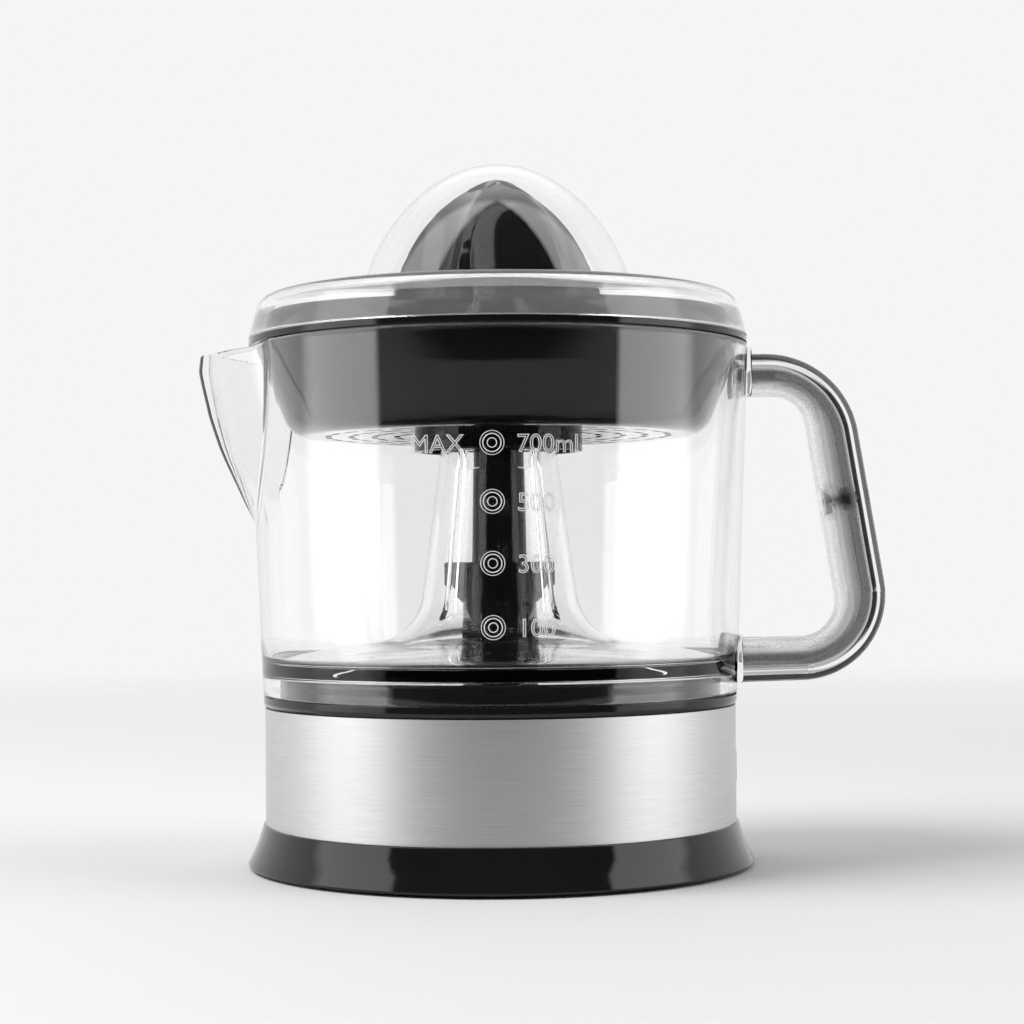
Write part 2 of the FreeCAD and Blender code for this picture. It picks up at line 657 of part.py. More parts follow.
rotor_spot = (ROTOR_AXIS.x, ROTOR_AXIS.y)
magnet_span = (CORE[0] - 0.6, CORE[1] + 0.6)
save("rotor_magnet", ring(ROTOR_R, ROTOR_SHAFT_R + FIT_PLAY, *magnet_span, *rotor_spot))
save("rotor_shaft", disc(ROTOR_SHAFT_R, BRACKET[0] + 0.2, 36.0, *rotor_spot))
save("motor_pinion", make_motor_pinion())
save("first_gear", make_first_gear())
save("second_gear", make_second_gear())
save("output_gear", make_output_gear())
save("drive_shaft", make_drive_shaft())
save("spindle", disc(SPINDLE_R, *SPINDLE_SPAN))
save("press_plunger", make_press_plunger())
save("return_spring", make_return_spring())
save("switch_lever", make_switch_lever())
save("switch_button", disc(1.0, 12.0, LEVER_TOP - LEVER_THICK - 0.1, BUTTON_X, 0))


# ================= jug and its handle =================

SPOUT_HALF_ANGLE = 25.0
SPOUT_TIP = [(97.0, 69.6), (106.0, 74.1), (114.6, 78.1), (123.1, 81.3), (131.7, 83.6), (SPOUT_RIM, 86.1)]
HANDLE_HALF = 10.5
HANDLE_SEAM = (71.5, 68.2)
HANDLE_OUTER = [(60, 143.9), (98.1, 143.9, 26.5), (113.2, 52.2, 24.2), (60, 50.8)]
HANDLE_INNER = [(60, 132.5), (87.2, 132.5, 8.7), (98.2, 63.6, 10), (60, 63.4)]
HANDLE_MIDDLE_Z = 98.0
COVER_THICK = 4.4
GRIP_WALL = 2.0
CHIMNEY_RIBS = (45, 135, 225, 315)
UPPER_SPIGOT = ((69.0, 78.5), (-6.5, 6.5), (135.2, 139.2))
LOWER_SPIGOT = ((66.0, 75.6), (-6.5, 6.5), (56.6, 61.2))
RECESS_Z = 101.7


def jug_radius(z):
    """Outer radius of the jug's tapered wall at a height."""
    return JUG_FOOT_R + (JUG_RIM_R - JUG_FOOT_R) * (z - JUG_BOTTOM) / (JUG_RIM - JUG_BOTTOM)


def spout_section(z, tip_r, inset):
    """Level outline of the spout: two flanks from the wall to a rounded tip."""
    wall_r = jug_radius(z)
    reach = tip_r - wall_r
    share = reach / (SPOUT_TIP[-1][1] - jug_radius(SPOUT_RIM))
    half = SPOUT_HALF_ANGLE * math.sqrt(share) - math.degrees(inset / wall_r)
    root_r = wall_r - (1.2 if inset == 0 else 7.0)
    left = polar(root_r, 180 - half, z)
    right = polar(root_r, 180 + half, z)
    tip = Vector(-(tip_r - inset), 0, z)
    nose = 1.0 + 3.0 * share - inset / 2
    left_way = (left - tip).normalize()
    right_way = (right - tip).normalize()
    opening = left_way.getAngle(right_way) / 2
    back = nose / math.tan(opening)
    middle = tip + Vector(nose / math.sin(opening) - nose, 0, 0)
    return Part.Wire([
        Part.LineSegment(left, tip + left_way * back).toShape(),
        Part.Arc(tip + left_way * back, middle, tip + right_way * back).toShape(),
        Part.LineSegment(tip + right_way * back, right).toShape(),
        Part.LineSegment(right, left).toShape(),
    ])


def make_spout():
    outer = Part.makeLoft([spout_section(z, tip, 0) for z, tip in SPOUT_TIP], True)
    inside = lathe([
        (0, JUG_BOTTOM), (jug_radius(JUG_BOTTOM) - 1, JUG_BOTTOM), (JUG_RIM_R - 1, JUG_RIM), (0, JUG_RIM),
    ])
    outer = outer.cut(inside)
    hollow = [spout_section(z, tip, SPOUT_WALL) for z, tip in SPOUT_TIP[1:]]
    top = hollow[-1].copy()
    top.translate(Vector(0, 0, 4))
    inner = Part.makeLoft(hollow, True)
    above = Part.makeLoft([hollow[-1], top], True)
    return outer, inner.fuse(above)


def handle_pad(x_span, z_span):
    """Rounded pad on the jug's wall that an arm of the handle seats on."""
    half = HANDLE_HALF + 0.6
    corners = [
        (-half, z_span[0], 3), (half, z_span[0], 3), (half, z_span[1], 3), (-half, z_span[1], 3),
    ]
    face = rounded_face(corners, lambda u, v: Vector(x_span[0], u, v))
    return face.extrude(Vector(x_span[1] - x_span[0], 0, 0))


def make_jug():
    body = lathe([
        (JUG_FOOT_R, JUG_BOTTOM, 0.6), (JUG_RIM_R, JUG_RIM, 0.8),
        (JUG_RIM_R - JUG_WALL, JUG_RIM, 0.8), (65.1, 57.05, 3.0), (23.4, 65.0, 16),
        (16.3, 119.0, 0.7), (14.1, 119.0, 0.7), (20.9, 62.9, 18), (64.9, 54.6, 1.0),
        (64.7, JUG_BOTTOM, 0.6),
    ])
    rib_side = rounded_face([(17.6, 70.0), (20.8, 70.0), (15.1, 117.5), (12.9, 117.5, 0.5)])
    rib = rib_side.extrude(Vector(0, 1.6, 0))
    rib.translate(Vector(0, -0.8, 0))
    ribs = [turned(rib, angle) for angle in CHIMNEY_RIBS]
    spout, spout_hollow = make_spout()
    pads = [
        handle_pad((69.2, HANDLE_SEAM[0] - 0.05), (131.9, 144.5)),
        handle_pad((65.9, HANDLE_SEAM[1] - 0.05), (50.9, 64.5)),
    ]
    sockets = [
        block((67.4, 69.5), (-7.0, 7.0), (134.6, 140.6)),
        block((63.6, 66.5), (-7.0, 7.0), (56.2, 61.8)),
    ]
    spigots = [block(*UPPER_SPIGOT), block(*LOWER_SPIGOT)]
    body = joined(body, spout, *ribs, *pads, *sockets, *spigots)
    return body.cut(spout_hollow)


def handle_trim():
    """The space inside the two seam planes, which the handle stops short of."""
    upper = block((0, HANDLE_SEAM[0]), (-20, 20), (HANDLE_MIDDLE_Z, 160))
    lower = block((0, HANDLE_SEAM[1]), (-20, 20), (30, HANDLE_MIDDLE_Z))
    return [upper, lower]


def handle_strip(first, second, half):
    """Side outline between two paths, as wide as the handle."""
    strip = rounded_face(first + second[::-1]).extrude(Vector(0, 2 * half, 0))
    strip.translate(Vector(0, -half, 0))
    return strip


def round_along(solid, path, half, radius):
    """Round the solid's two long edges that follow a path."""
    chosen = []
    for side in (-half, half):
        line = Part.Wire(rounded_edges(path, False, lambda u, v: Vector(u, side, v)))
        for edge in solid.Edges:
            if all(vertex.distToShape(line)[0] < 0.01 for vertex in edge.Vertexes):
                chosen.append(edge)
    return solid.makeFillet(radius, chosen)


def recess_axis():
    """Middle of the round recess on the grip's inner face, and the way into the handle."""
    top, foot = HANDLE_INNER[1], HANDLE_INNER[2]
    slope = (foot[0] - top[0]) / (top[1] - foot[1])
    start = Vector(top[0] + (top[1] - RECESS_Z) * slope, 0, RECESS_Z)
    return start, Vector(1, 0, slope).normalize()


def make_grip():
    """Frosted channel that the fingers close on, open to the cover."""
    parting = offset_path(HANDLE_OUTER, -COVER_THICK - 0.05)
    full = handle_strip(parting, HANDLE_INNER, HANDLE_HALF)
    full = round_along(full, HANDLE_INNER, HANDLE_HALF, 4.0)
    channel = handle_strip(
        offset_path(HANDLE_OUTER, 1 - COVER_THICK),
        offset_path(HANDLE_INNER, GRIP_WALL),
        HANDLE_HALF - GRIP_WALL,
    )
    channel = round_along(channel, offset_path(HANDLE_INNER, GRIP_WALL), HANDLE_HALF - GRIP_WALL, 2.2)
    end_walls = [
        block((0, HANDLE_SEAM[0] + 1.5), (-20, 20), (HANDLE_MIDDLE_Z, 160)),
        block((0, HANDLE_SEAM[1] + 1.5), (-20, 20), (30, HANDLE_MIDDLE_Z)),
    ]
    start, way = recess_axis()
    boss = Part.makeCylinder(5.6, 5.0, start, way).fuse(Part.makeCylinder(3.2, 14, start, way))
    grip = full.cut(channel.cut(end_walls)).fuse(boss.common(full)).removeSplitter()
    grip = grip.cut(handle_trim())
    grip = grip.cut(block((60, 76), (-6.8, 6.8), (134.9, 141.5)))
    grip = grip.cut(block((60, 76), (-6.8, 6.8), (54.8, 61.5)))
    recess = Part.makeCylinder(4.15, 3.5, start - way, way)
    return grip.cut(recess).cut(Part.makeCylinder(1.6, 20, start, way))


def make_handle_cover():
    """Clear strip that closes the grip's channel from outside."""
    cover = handle_strip(HANDLE_OUTER, offset_path(HANDLE_OUTER, -COVER_THICK), HANDLE_HALF)
    cover = round_along(cover, HANDLE_OUTER, HANDLE_HALF, 3.6)
    start, way = recess_axis()
    return cover.cut(handle_trim()).cut(Part.makeCylinder(1.52, 9.7, start, way))


def make_handle_screw():
    start, way = recess_axis()
    head = Part.makeCylinder(3.6, 1.8, start + way * 0.7, way)
    shank = Part.makeCylinder(1.5, 7.2, start + way * 2.4, way)
    return joined(head, shank).cut(Part.makeCylinder(1.3, 0.9, start + way * 0.5, way))


# ================= strainer, cone and lid =================

SLOT_RINGS = (29.0, 35.5, 42.0, 48.5)
SLOT_WIDTH = 1.7
SLOT_LENGTH = 7.2
SLOT_GAP = 2.9
VALLEY_DIRECTIONS = (41, 101, 161, 221, 281, 341)
VALLEY_FLOOR = ((11.2, 188.0), (19.9, 169.6), (23.0, 149.0))
VALLEY_R = 18.5
STEM_R = 7.2
STEM_BOTTOM = 112.3
STEM_TOP = 175.9
SOCKET_FLATS = 9.9
SOCKET_TOP = 142.0
LID_INNER_RIM = (66.9, 152.6)


def curve(points, start_way, end_way):
    """Smooth edge through the points, with its directions at both ends."""
    spline = Part.BSplineCurve()
    spline.interpolate(
        Points=[upright(*point) for point in points],
        InitialTangent=upright(*start_way),
        FinalTangent=upright(*end_way),
    )
    return spline.toShape()


def line(first, second):
    return Part.LineSegment(upright(*first), upright(*second)).toShape()


def make_strainer():
    bowl = lathe([
        (66.7, STRAINER_TOP, 0.3), (STRAINER_R, STRAINER_TOP, 0.3), (STRAINER_R, STRAINER_SEAT, 0.3),
        (68.5, STRAINER_SEAT), (65.4, 136.9, 20), (58.9, 121.3, 7), (24.0, 121.3),
        (24.0, 116.9, 0.4), (22.0, 116.9, 0.4), (22.0, 121.3, 0.5), (10.0, 121.3), (10.0, 117.0, 0.4),
        (7.5, 117.0), (7.5, STRAINER_TOP), (9.6, STRAINER_TOP, 0.5), (11.6, 123.3, 1.5),
        (57.5, 123.3, 5), (63.4, 136.9, 20),
    ])
    slots = []
    for row, radius in enumerate(SLOT_RINGS):
        count = round(2 * math.pi * radius / (SLOT_LENGTH + SLOT_GAP))
        sweep = math.degrees(SLOT_LENGTH / radius)
        outer = Part.makeCylinder(radius + SLOT_WIDTH / 2, 8, Vector(0, 0, 119), Vector(0, 0, 1), sweep)
        slot = outer.cut(disc(radius - SLOT_WIDTH / 2, 118, 128))
        for index in range(count):
            slots.append(turned(slot, 360 * (index + row / 2) / count))
    return bowl.cut(slots)


def make_cone():
    """Reamer: a dome with six ribs left between six scooped valleys."""
    crest = [
        (0, CONE_TIP), (7.9, 192.1), (14.3, 187.6), (21.0, 180.7), (26.4, 171.6), (29.4, 160.7),
        (CONE_R, CONE_BASE),
    ]
    axis_foot = (0, CONE_BASE)
    edges = [curve(crest, (1, 0), (0, -1)), line(crest[-1], axis_foot), line(axis_foot, crest[0])]
    dome = Part.Face(Part.Wire(edges)).revolve(Vector(), Vector(0, 0, 1), 360)
    floor = Part.Circle(*[upright(*point) for point in VALLEY_FLOOR])
    scoop = Part.makeTorus(floor.Radius + VALLEY_R, VALLEY_R, floor.Center, Vector(0, 1, 0))
    cone = dome.cut([turned(scoop, angle) for angle in VALLEY_DIRECTIONS])
    hollow = lathe([(9.2, 148), (19.4, 148), (14.0, 172, 1.5), (9.2, 174, 1.5)])
    return cone.cut(hollow).cut(disc(STEM_R + FIT_PLAY, 148, STEM_TOP + 0.1))


def make_cone_stem():
    stem = disc(STEM_R, STEM_BOTTOM, STEM_TOP)
    return stem.cut(hexagon(SOCKET_FLATS, STEM_BOTTOM - 1, SOCKET_TOP))


def make_lid():
    """Clear lid: a rim that sits on the strainer, a sloped skirt, a flat ring and a tall dome."""
    skirt = [(LID_R, LID_BOTTOM), (67.6, 160.9, 4.5), (40.0, 160.9)]
    dome = [
        (38.3, 162.6), (36.9, 170.4), (32.3, 178.3), (25.1, 187.4), (17.0, 194.3), (8.0, 198.4),
        (0, LID_TOP),
    ]
    inner_skirt = offset_path(skirt, LID_WALL)
    inner_skirt[0] = LID_INNER_RIM
    inner_dome = [
        (36.5, 162.0), (35.2, 169.7), (30.8, 177.2), (23.8, 186.1), (16.0, 192.7), (7.5, 196.6),
        (0, LID_TOP - LID_WALL),
    ]
    edges = rounded_edges(skirt, False)
    edges += [line(skirt[-1], dome[0]), curve(dome, (-0.05, 1), (-1, 0)), line(dome[-1], inner_dome[-1])]
    edges.append(curve(inner_dome[::-1], (1, 0), (0.05, -1)))
    edges.append(line(inner_dome[0], inner_skirt[-1][:2]))
    edges += rounded_edges(inner_skirt[::-1], False)
    inner_foot = (LID_INNER_RIM[0], LID_BOTTOM)
    edges += [line(LID_INNER_RIM, inner_foot), line(inner_foot, skirt[0])]
    return Part.Face(Part.Wire(Part.sortEdges(edges)[0])).revolve(Vector(), Vector(0, 0, 1), 360)


save("jug", make_jug())
save("handle_grip", make_grip())
save("handle_cover", make_handle_cover())
save("handle_screw", make_handle_screw())
save("strainer", make_strainer())
save("cone", make_cone())
save("cone_stem", make_cone_stem())
save("lid", make_lid())
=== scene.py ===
import json
import math

import bmesh
import bpy
import numpy as np
from mathutils import Matrix, Vector


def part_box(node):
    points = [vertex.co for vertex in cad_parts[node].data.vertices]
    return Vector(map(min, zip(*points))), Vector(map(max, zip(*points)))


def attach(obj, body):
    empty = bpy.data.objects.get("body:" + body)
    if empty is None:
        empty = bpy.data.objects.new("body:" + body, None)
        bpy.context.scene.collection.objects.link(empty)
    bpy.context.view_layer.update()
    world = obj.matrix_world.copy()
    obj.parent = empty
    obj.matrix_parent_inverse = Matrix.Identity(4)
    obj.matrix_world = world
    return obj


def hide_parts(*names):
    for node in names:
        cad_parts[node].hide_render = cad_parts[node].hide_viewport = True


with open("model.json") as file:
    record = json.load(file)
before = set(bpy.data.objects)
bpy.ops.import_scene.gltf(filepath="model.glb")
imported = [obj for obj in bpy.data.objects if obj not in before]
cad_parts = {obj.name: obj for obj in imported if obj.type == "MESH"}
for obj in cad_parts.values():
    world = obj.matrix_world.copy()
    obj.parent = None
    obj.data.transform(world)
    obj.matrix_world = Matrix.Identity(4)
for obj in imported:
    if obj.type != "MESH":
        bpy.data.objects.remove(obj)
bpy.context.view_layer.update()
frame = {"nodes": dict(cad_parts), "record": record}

# Citrus press: clear jug and lid as fine smooth meshes, a scooped reamer cone, volume marks
# in relief, and procedural plastics, steel and rubber; the handle keeps the frame's meshes.
# Lengths are in millimetres up to the point where a mesh is made, and MM turns them into the
# frame's metres.

MM = 0.001
NODES = frame["nodes"]


def low(node, axis):
    """Lowest coordinate of a CAD node along an axis, in millimetres."""
    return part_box(node)[0]["xyz".index(axis)] / MM


def high(node, axis):
    """Highest coordinate of a CAD node along an axis, in millimetres."""
    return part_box(node)[1]["xyz".index(axis)] / MM


# ---- sizes that come from the frame ----
JUG_BOTTOM = low("jug", "z")
JUG_RIM = high("jug", "z")
JUG_RIM_R = high("jug", "y")
SPOUT_TIP_R = -low("jug", "x")
LID_BOTTOM = low("lid", "z")
LID_TOP = high("lid", "z")
LID_R = high("lid", "x")
CONE_BASE = low("cone", "z")
CONE_TIP = high("cone", "z")

# ---- sizes of the shapes made here ----
JUG_FOOT_R = 67.2
WALL_START = 51.0        # height of the outer wall's first row of points
SPOUT_START = 94.0       # from this height on the rows are close together, for the spout
JUG_WALL = 2.4
SPOUT_RIM = 145.1
LID_WALL = 1.8
DOME_R = 38.4
DOME_BASE = 162.0
DOME_POWER = 1.5
SPOUT_HALF_ANGLE = 26.0
EDGE_ANGLE = math.radians(32)
CONE_EDGE_ANGLE = math.radians(60)


# ================= small tools =================

def rounded(corners, closed=False, step=8.0):
    """Points along a path of (u, v) or (u, v, radius) corners, each corner turned as an arc."""
    points = [np.array(corner[:2], float) for corner in corners]
    last = len(points) - 1
    path = []
    for index, here in enumerate(points):
        radius = corners[index][2] if len(corners[index]) > 2 else 0
        if radius == 0 or (not closed and index in (0, last)):
            path.append(here)
            continue
        back = points[index - 1] - here
        ahead = points[(index + 1) % len(points)] - here
        back /= np.linalg.norm(back)
        ahead /= np.linalg.norm(ahead)
        half = math.acos(np.clip(back @ ahead, -1, 1)) / 2
        inward = (back + ahead) / np.linalg.norm(back + ahead)
        centre = here + inward * radius / math.sin(half)
        start = here + back * radius / math.tan(half) - centre
        end = here + ahead * radius / math.tan(half) - centre
        sweep = math.pi - 2 * half
        turn = math.copysign(sweep, start[0] * end[1] - start[1] * end[0])
        count = max(2, math.ceil(math.degrees(sweep) / step))
        for k in range(count + 1):
            angle = turn * k / count
            cos, sin = math.cos(angle), math.sin(angle)
            path.append(centre + np.array([
                start[0] * cos - start[1] * sin, start[0] * sin + start[1] * cos,
            ]))
    return path


def divided(path, longest, closed=False):
    """The path with its long runs divided evenly, so that no step is longer than `longest`."""
    result = []
    count = len(path)
    for index in range(count if closed else count - 1):
        a, b = np.array(path[index], float), np.array(path[(index + 1) % count], float)
        pieces = max(1, math.ceil(np.linalg.norm(b - a) / longest))
        result += [a + (b - a) * k / pieces for k in range(pieces)]
    if not closed:
        result.append(np.array(path[-1], float))
    return result


def smooth_curve(points, steps):
    """Catmull-Rom curve through the points."""
    points = [np.array(point, float) for point in points]
    points = [2 * points[0] - points[1]] + points + [2 * points[-1] - points[-2]]
    result = []
    for a, b, c, d in zip(points, points[1:], points[2:], points[3:]):
        for k in range(steps):
            t = k / steps
            result.append(0.5 * (2 * b + (c - a) * t + (2 * a - 5 * b + 4 * c - d) * t ** 2
                                 + (3 * b - a - 3 * c + d) * t ** 3))
    result.append(points[-2])
    return result


def offset_left(path, distance):
    """An open path of points moved to its left."""
    path = np.array(path, float)
    ways = np.gradient(path, axis=0)
    ways /= np.linalg.norm(ways, axis=1, keepdims=True)
    return path + distance * np.stack([-ways[:, 1], ways[:, 0]], axis=1)


def smoothstep(low_edge, high_edge, value):
    """0 below the low edge, 1 above the high one, and a smooth rise between them."""
    t = np.clip((value - low_edge) / (high_edge - low_edge), 0, 1)
    return t * t * (3 - 2 * t)


def placed(name, data):
    """An object with this data, linked to the scene."""
    item = bpy.data.objects.new(name, data)
    bpy.context.scene.collection.objects.link(item)
    return item


def mesh_object(name, vertices, faces, body):
    """A shaded mesh piece from millimetre vertices, on a body."""
    mesh = bpy.data.meshes.new(name)
    mesh.from_pydata([tuple(v) for v in np.asarray(vertices) * MM], [], faces)
    mesh.validate()
    built = bmesh.new()
    built.from_mesh(mesh)
    bmesh.ops.remove_doubles(built, verts=built.verts, dist=1e-7)
    bmesh.ops.recalc_face_normals(built, faces=built.faces)
    built.to_mesh(mesh)
    built.free()
    mesh.shade_smooth()
    mesh.set_sharp_from_angle(angle=EDGE_ANGLE)
    piece = placed(name, mesh)
    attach(piece, body)
    return piece


def grid_faces(rows, columns, close_rows, close_columns):
    """Quads of a rows by columns grid of vertices numbered row by row."""
    faces = []
    for row in range(rows if close_rows else rows - 1):
        for column in range(columns if close_columns else columns - 1):
            a = row * columns + column
            b = row * columns + (column + 1) % columns
            c = ((row + 1) % rows) * columns + (column + 1) % columns
            d = ((row + 1) % rows) * columns + column
            faces.append((a, b, c, d))
    return faces


def lathe(name, profile, body, segments=192):
    """Closed profile of (radius, height) points turned about the drive axis."""
    profile = np.array(profile)
    angles = np.linspace(0, 2 * math.pi, segments, endpoint=False)
    vertices = np.stack([
        np.outer(np.cos(angles), profile[:, 0]),
        np.outer(np.sin(angles), profile[:, 0]),
        np.tile(profile[:, 1], (segments, 1)),
    ], axis=-1).reshape(-1, 3)
    return mesh_object(name, vertices, grid_faces(segments, len(profile), True, True), body)


def apply_modifier(piece, kind, **settings):
    """Add a modifier, set it and apply it to the mesh."""
    modifier = piece.modifiers.new(kind.lower(), kind)
    for key, value in settings.items():
        setattr(modifier, key, value)
    graph = bpy.context.evaluated_depsgraph_get()
    mesh = bpy.data.meshes.new_from_object(piece.evaluated_get(graph))
    piece.modifiers.remove(modifier)
    piece.data = mesh
    return piece


def resharpen(piece, angle=EDGE_ANGLE):
    """Shade a piece smooth, with edges over this angle sharp."""
    piece.data.shade_smooth()
    piece.data.set_sharp_from_angle(angle=angle)


# ================= materials =================

# The handle's outer outline as (x, z, corner radius), and how strong the painted shade is as
# (depth below that outline, share) for the cover and for the grip, all in millimetres. The
# painted shade stands in for the dark lines that refraction makes in the clear cover's
# rounded rim and seat, and in the grip where the cover's rib lies behind its frosted wall.
HANDLE_OUTLINE = [(60, 143.9, 0), (98.1, 143.9, 26.5), (113.2, 52.2, 24.2), (60, 50.8, 0)]
COVER_PAINTED_SHADE = [(0.0, 0.2), (0.6, 0.35), (0.8, 0.95), (1.9, 0.95), (2.1, 0.0), (3.3, 0.0),
               (3.5, 0.5), (4.3, 0.5), (4.4, 0.1), (6.0, 0.1)]
GRIP_PAINTED_SHADE = [(4.4, 0.05), (4.7, 0.1), (4.9, 0.42), (7.2, 0.4), (8.6, 0.03), (12.0, 0.0)]
RIM_HAZE = 0.11          # share of haze in the lid's sloped rim
GRIP_THINNESS = 0.62     # share of the frosted grip that light passes straight through
FAR_INSIDE = 100.0       # a depth in millimetres that no point of the handle reaches
CLEAR_IOR = 1.49
WAVE_RATE = 20           # a wave texture's bands are the sine of 20 x scale x height


def blank(name):
    """A new node material: the material, its tree and its Principled shader."""
    material = bpy.data.materials.new(name)
    material.use_nodes = True
    tree = material.node_tree
    tree.nodes.clear()
    shader = tree.nodes.new("ShaderNodeBsdfPrincipled")
    output = tree.nodes.new("ShaderNodeOutputMaterial")
    tree.links.new(shader.outputs[0], output.inputs["Surface"])
    return material, tree, shader


def add(tree, kind, **values):
    """A node with its properties set; a key such as in_1 sets the input in that place."""
    made = tree.nodes.new("ShaderNode" + kind)
    for key, value in values.items():
        if key.startswith("in_"):
            made.inputs[int(key[3:])].default_value = value
        else:
            setattr(made, key, value)
    return made


def noise(tree, scale, stretch=(1, 1, 1), detail=3.0, roughness=0.5):
    """Noise in the row frame's own coordinates, stretched by axis."""
    place = add(tree, "TexCoord")
    mapping = add(tree, "Mapping")
    mapping.inputs["Scale"].default_value = stretch
    tree.links.new(place.outputs["Object"], mapping.inputs["Vector"])
    texture = add(tree, "TexNoise")
    texture.inputs["Scale"].default_value = scale
    texture.inputs["Detail"].default_value = detail
    texture.inputs["Roughness"].default_value = roughness
    tree.links.new(mapping.outputs[0], texture.inputs["Vector"])
    return texture.outputs["Fac"]


def ranged(tree, source, low_value, high_value, start=0.3, end=0.7):
    """A value mapped from one range to another."""
    mapped = add(tree, "MapRange")
    for place, value in zip((1, 2, 3, 4), (start, end, low_value, high_value)):
        mapped.inputs[place].default_value = value
    tree.links.new(source, mapped.inputs[0])
    return mapped.outputs[0]


def object_axes(tree):
    """The frame's own X, Y and Z at each point, in metres."""
    place = add(tree, "TexCoord")
    split = add(tree, "SeparateXYZ")
    tree.links.new(place.outputs["Object"], split.inputs[0])
    return split.outputs["X"], split.outputs["Y"], split.outputs["Z"]


def maths(tree, operation, first, second=None, third=None):
    """A maths node's result; each term is a socket or a number."""
    node = add(tree, "Math", operation=operation)
    for place, term in enumerate((first, second, third)):
        if isinstance(term, bpy.types.NodeSocket):
            tree.links.new(term, node.inputs[place])
        elif term is not None:
            node.inputs[place].default_value = term
    return node.outputs[0]


def overlay(tree, share, top):
    """Mix a shader over the one that feeds the output; the share is a socket or a number."""
    surface = next(n for n in tree.nodes if n.type == "OUTPUT_MATERIAL").inputs["Surface"]
    mix = add(tree, "MixShader")
    if isinstance(share, bpy.types.NodeSocket):
        tree.links.new(share, mix.inputs[0])
    else:
        mix.inputs[0].default_value = share
    tree.links.new(surface.links[0].from_socket, mix.inputs[1])
    tree.links.new(top.outputs[0], mix.inputs[2])
    tree.links.new(mix.outputs[0], surface)


def bumped(tree, shader, height, strength, distance):
    """Relief on a shader's surface; the distance is in metres."""
    bump = add(tree, "Bump")
    bump.inputs["Strength"].default_value = strength
    bump.inputs["Distance"].default_value = distance
    tree.links.new(height, bump.inputs["Height"])
    tree.links.new(bump.outputs[0], shader.inputs["Normal"])


def grey_ramp(tree, source, stops):
    """Grey levels along a source that runs from 0 to 1, from (position, level) stops."""
    ramp = add(tree, "ValToRGB")
    elements = ramp.color_ramp.elements
    elements[0].position, elements[1].position = stops[0][0], stops[-1][0]
    for position, _ in stops[1:-1]:
        elements.new(position)
    for element, (_, level) in zip(elements, stops):
        element.color = (level, level, level, 1)
    tree.links.new(source, ramp.inputs[0])
    return ramp.outputs[0]


def tinted(tree, shader, source, first, second, start=0.3, end=0.7):
    """Base colour that wanders between two colours."""
    ramp = add(tree, "ValToRGB")
    ramp.color_ramp.elements[0].position = start
    ramp.color_ramp.elements[1].position = end
    ramp.color_ramp.elements[0].color = (*first, 1)
    ramp.color_ramp.elements[1].color = (*second, 1)
    tree.links.new(source, ramp.inputs[0])
    tree.links.new(ramp.outputs[0], shader.inputs["Base Color"])


def gloss_black(name="gloss_black", smoothest=0.045, roughest=0.085):
    """Polished black moulding: mirror gloss with a faint flow texture and fine dust marks."""
    material, tree, shader = blank(name)
    tinted(tree, shader, noise(tree, 30), (0.0075, 0.0075, 0.008), (0.010, 0.010, 0.0105))
    fine = noise(tree, 700, detail=5)
    tree.links.new(ranged(tree, fine, smoothest, roughest), shader.inputs["Roughness"])
    shader.inputs["IOR"].default_value = 1.42
    bumped(tree, shader, noise(tree, 45, detail=1), 0.035, 0.0008)
    return material


def matte_black(name="matte_black", grey=0.02, rough=0.5):
    """Spark-eroded black moulding."""
    material, tree, shader = blank(name)
    grain = noise(tree, 2600, detail=4)
    tinted(tree, shader, grain, (grey * 0.8,) * 3, (grey * 1.25,) * 3)
    tree.links.new(ranged(tree, grain, rough - 0.08, rough + 0.08), shader.inputs["Roughness"])
    bumped(tree, shader, grain, 0.25, 0.00006)
    return material


def clear_plastic(name, colour, rough, ior, shade):
    """Clear moulding: refracts, keeps a trace of flow waviness and lets lamp light through."""
    material, tree, shader = blank(name)
    shader.inputs["Transmission Weight"].default_value = 1.0
    shader.inputs["IOR"].default_value = ior
    shader.inputs["Base Color"].default_value = (*colour, 1)
    shader.inputs["Roughness"].default_value = rough
    bumped(tree, shader, noise(tree, 22, detail=1), 0.02, 0.0006)
    see_through = add(tree, "BsdfTransparent")
    see_through.inputs[0].default_value = (shade, shade, shade, 1)
    overlay(tree, add(tree, "LightPath").outputs["Is Shadow Ray"], see_through)
    return material, tree, shader


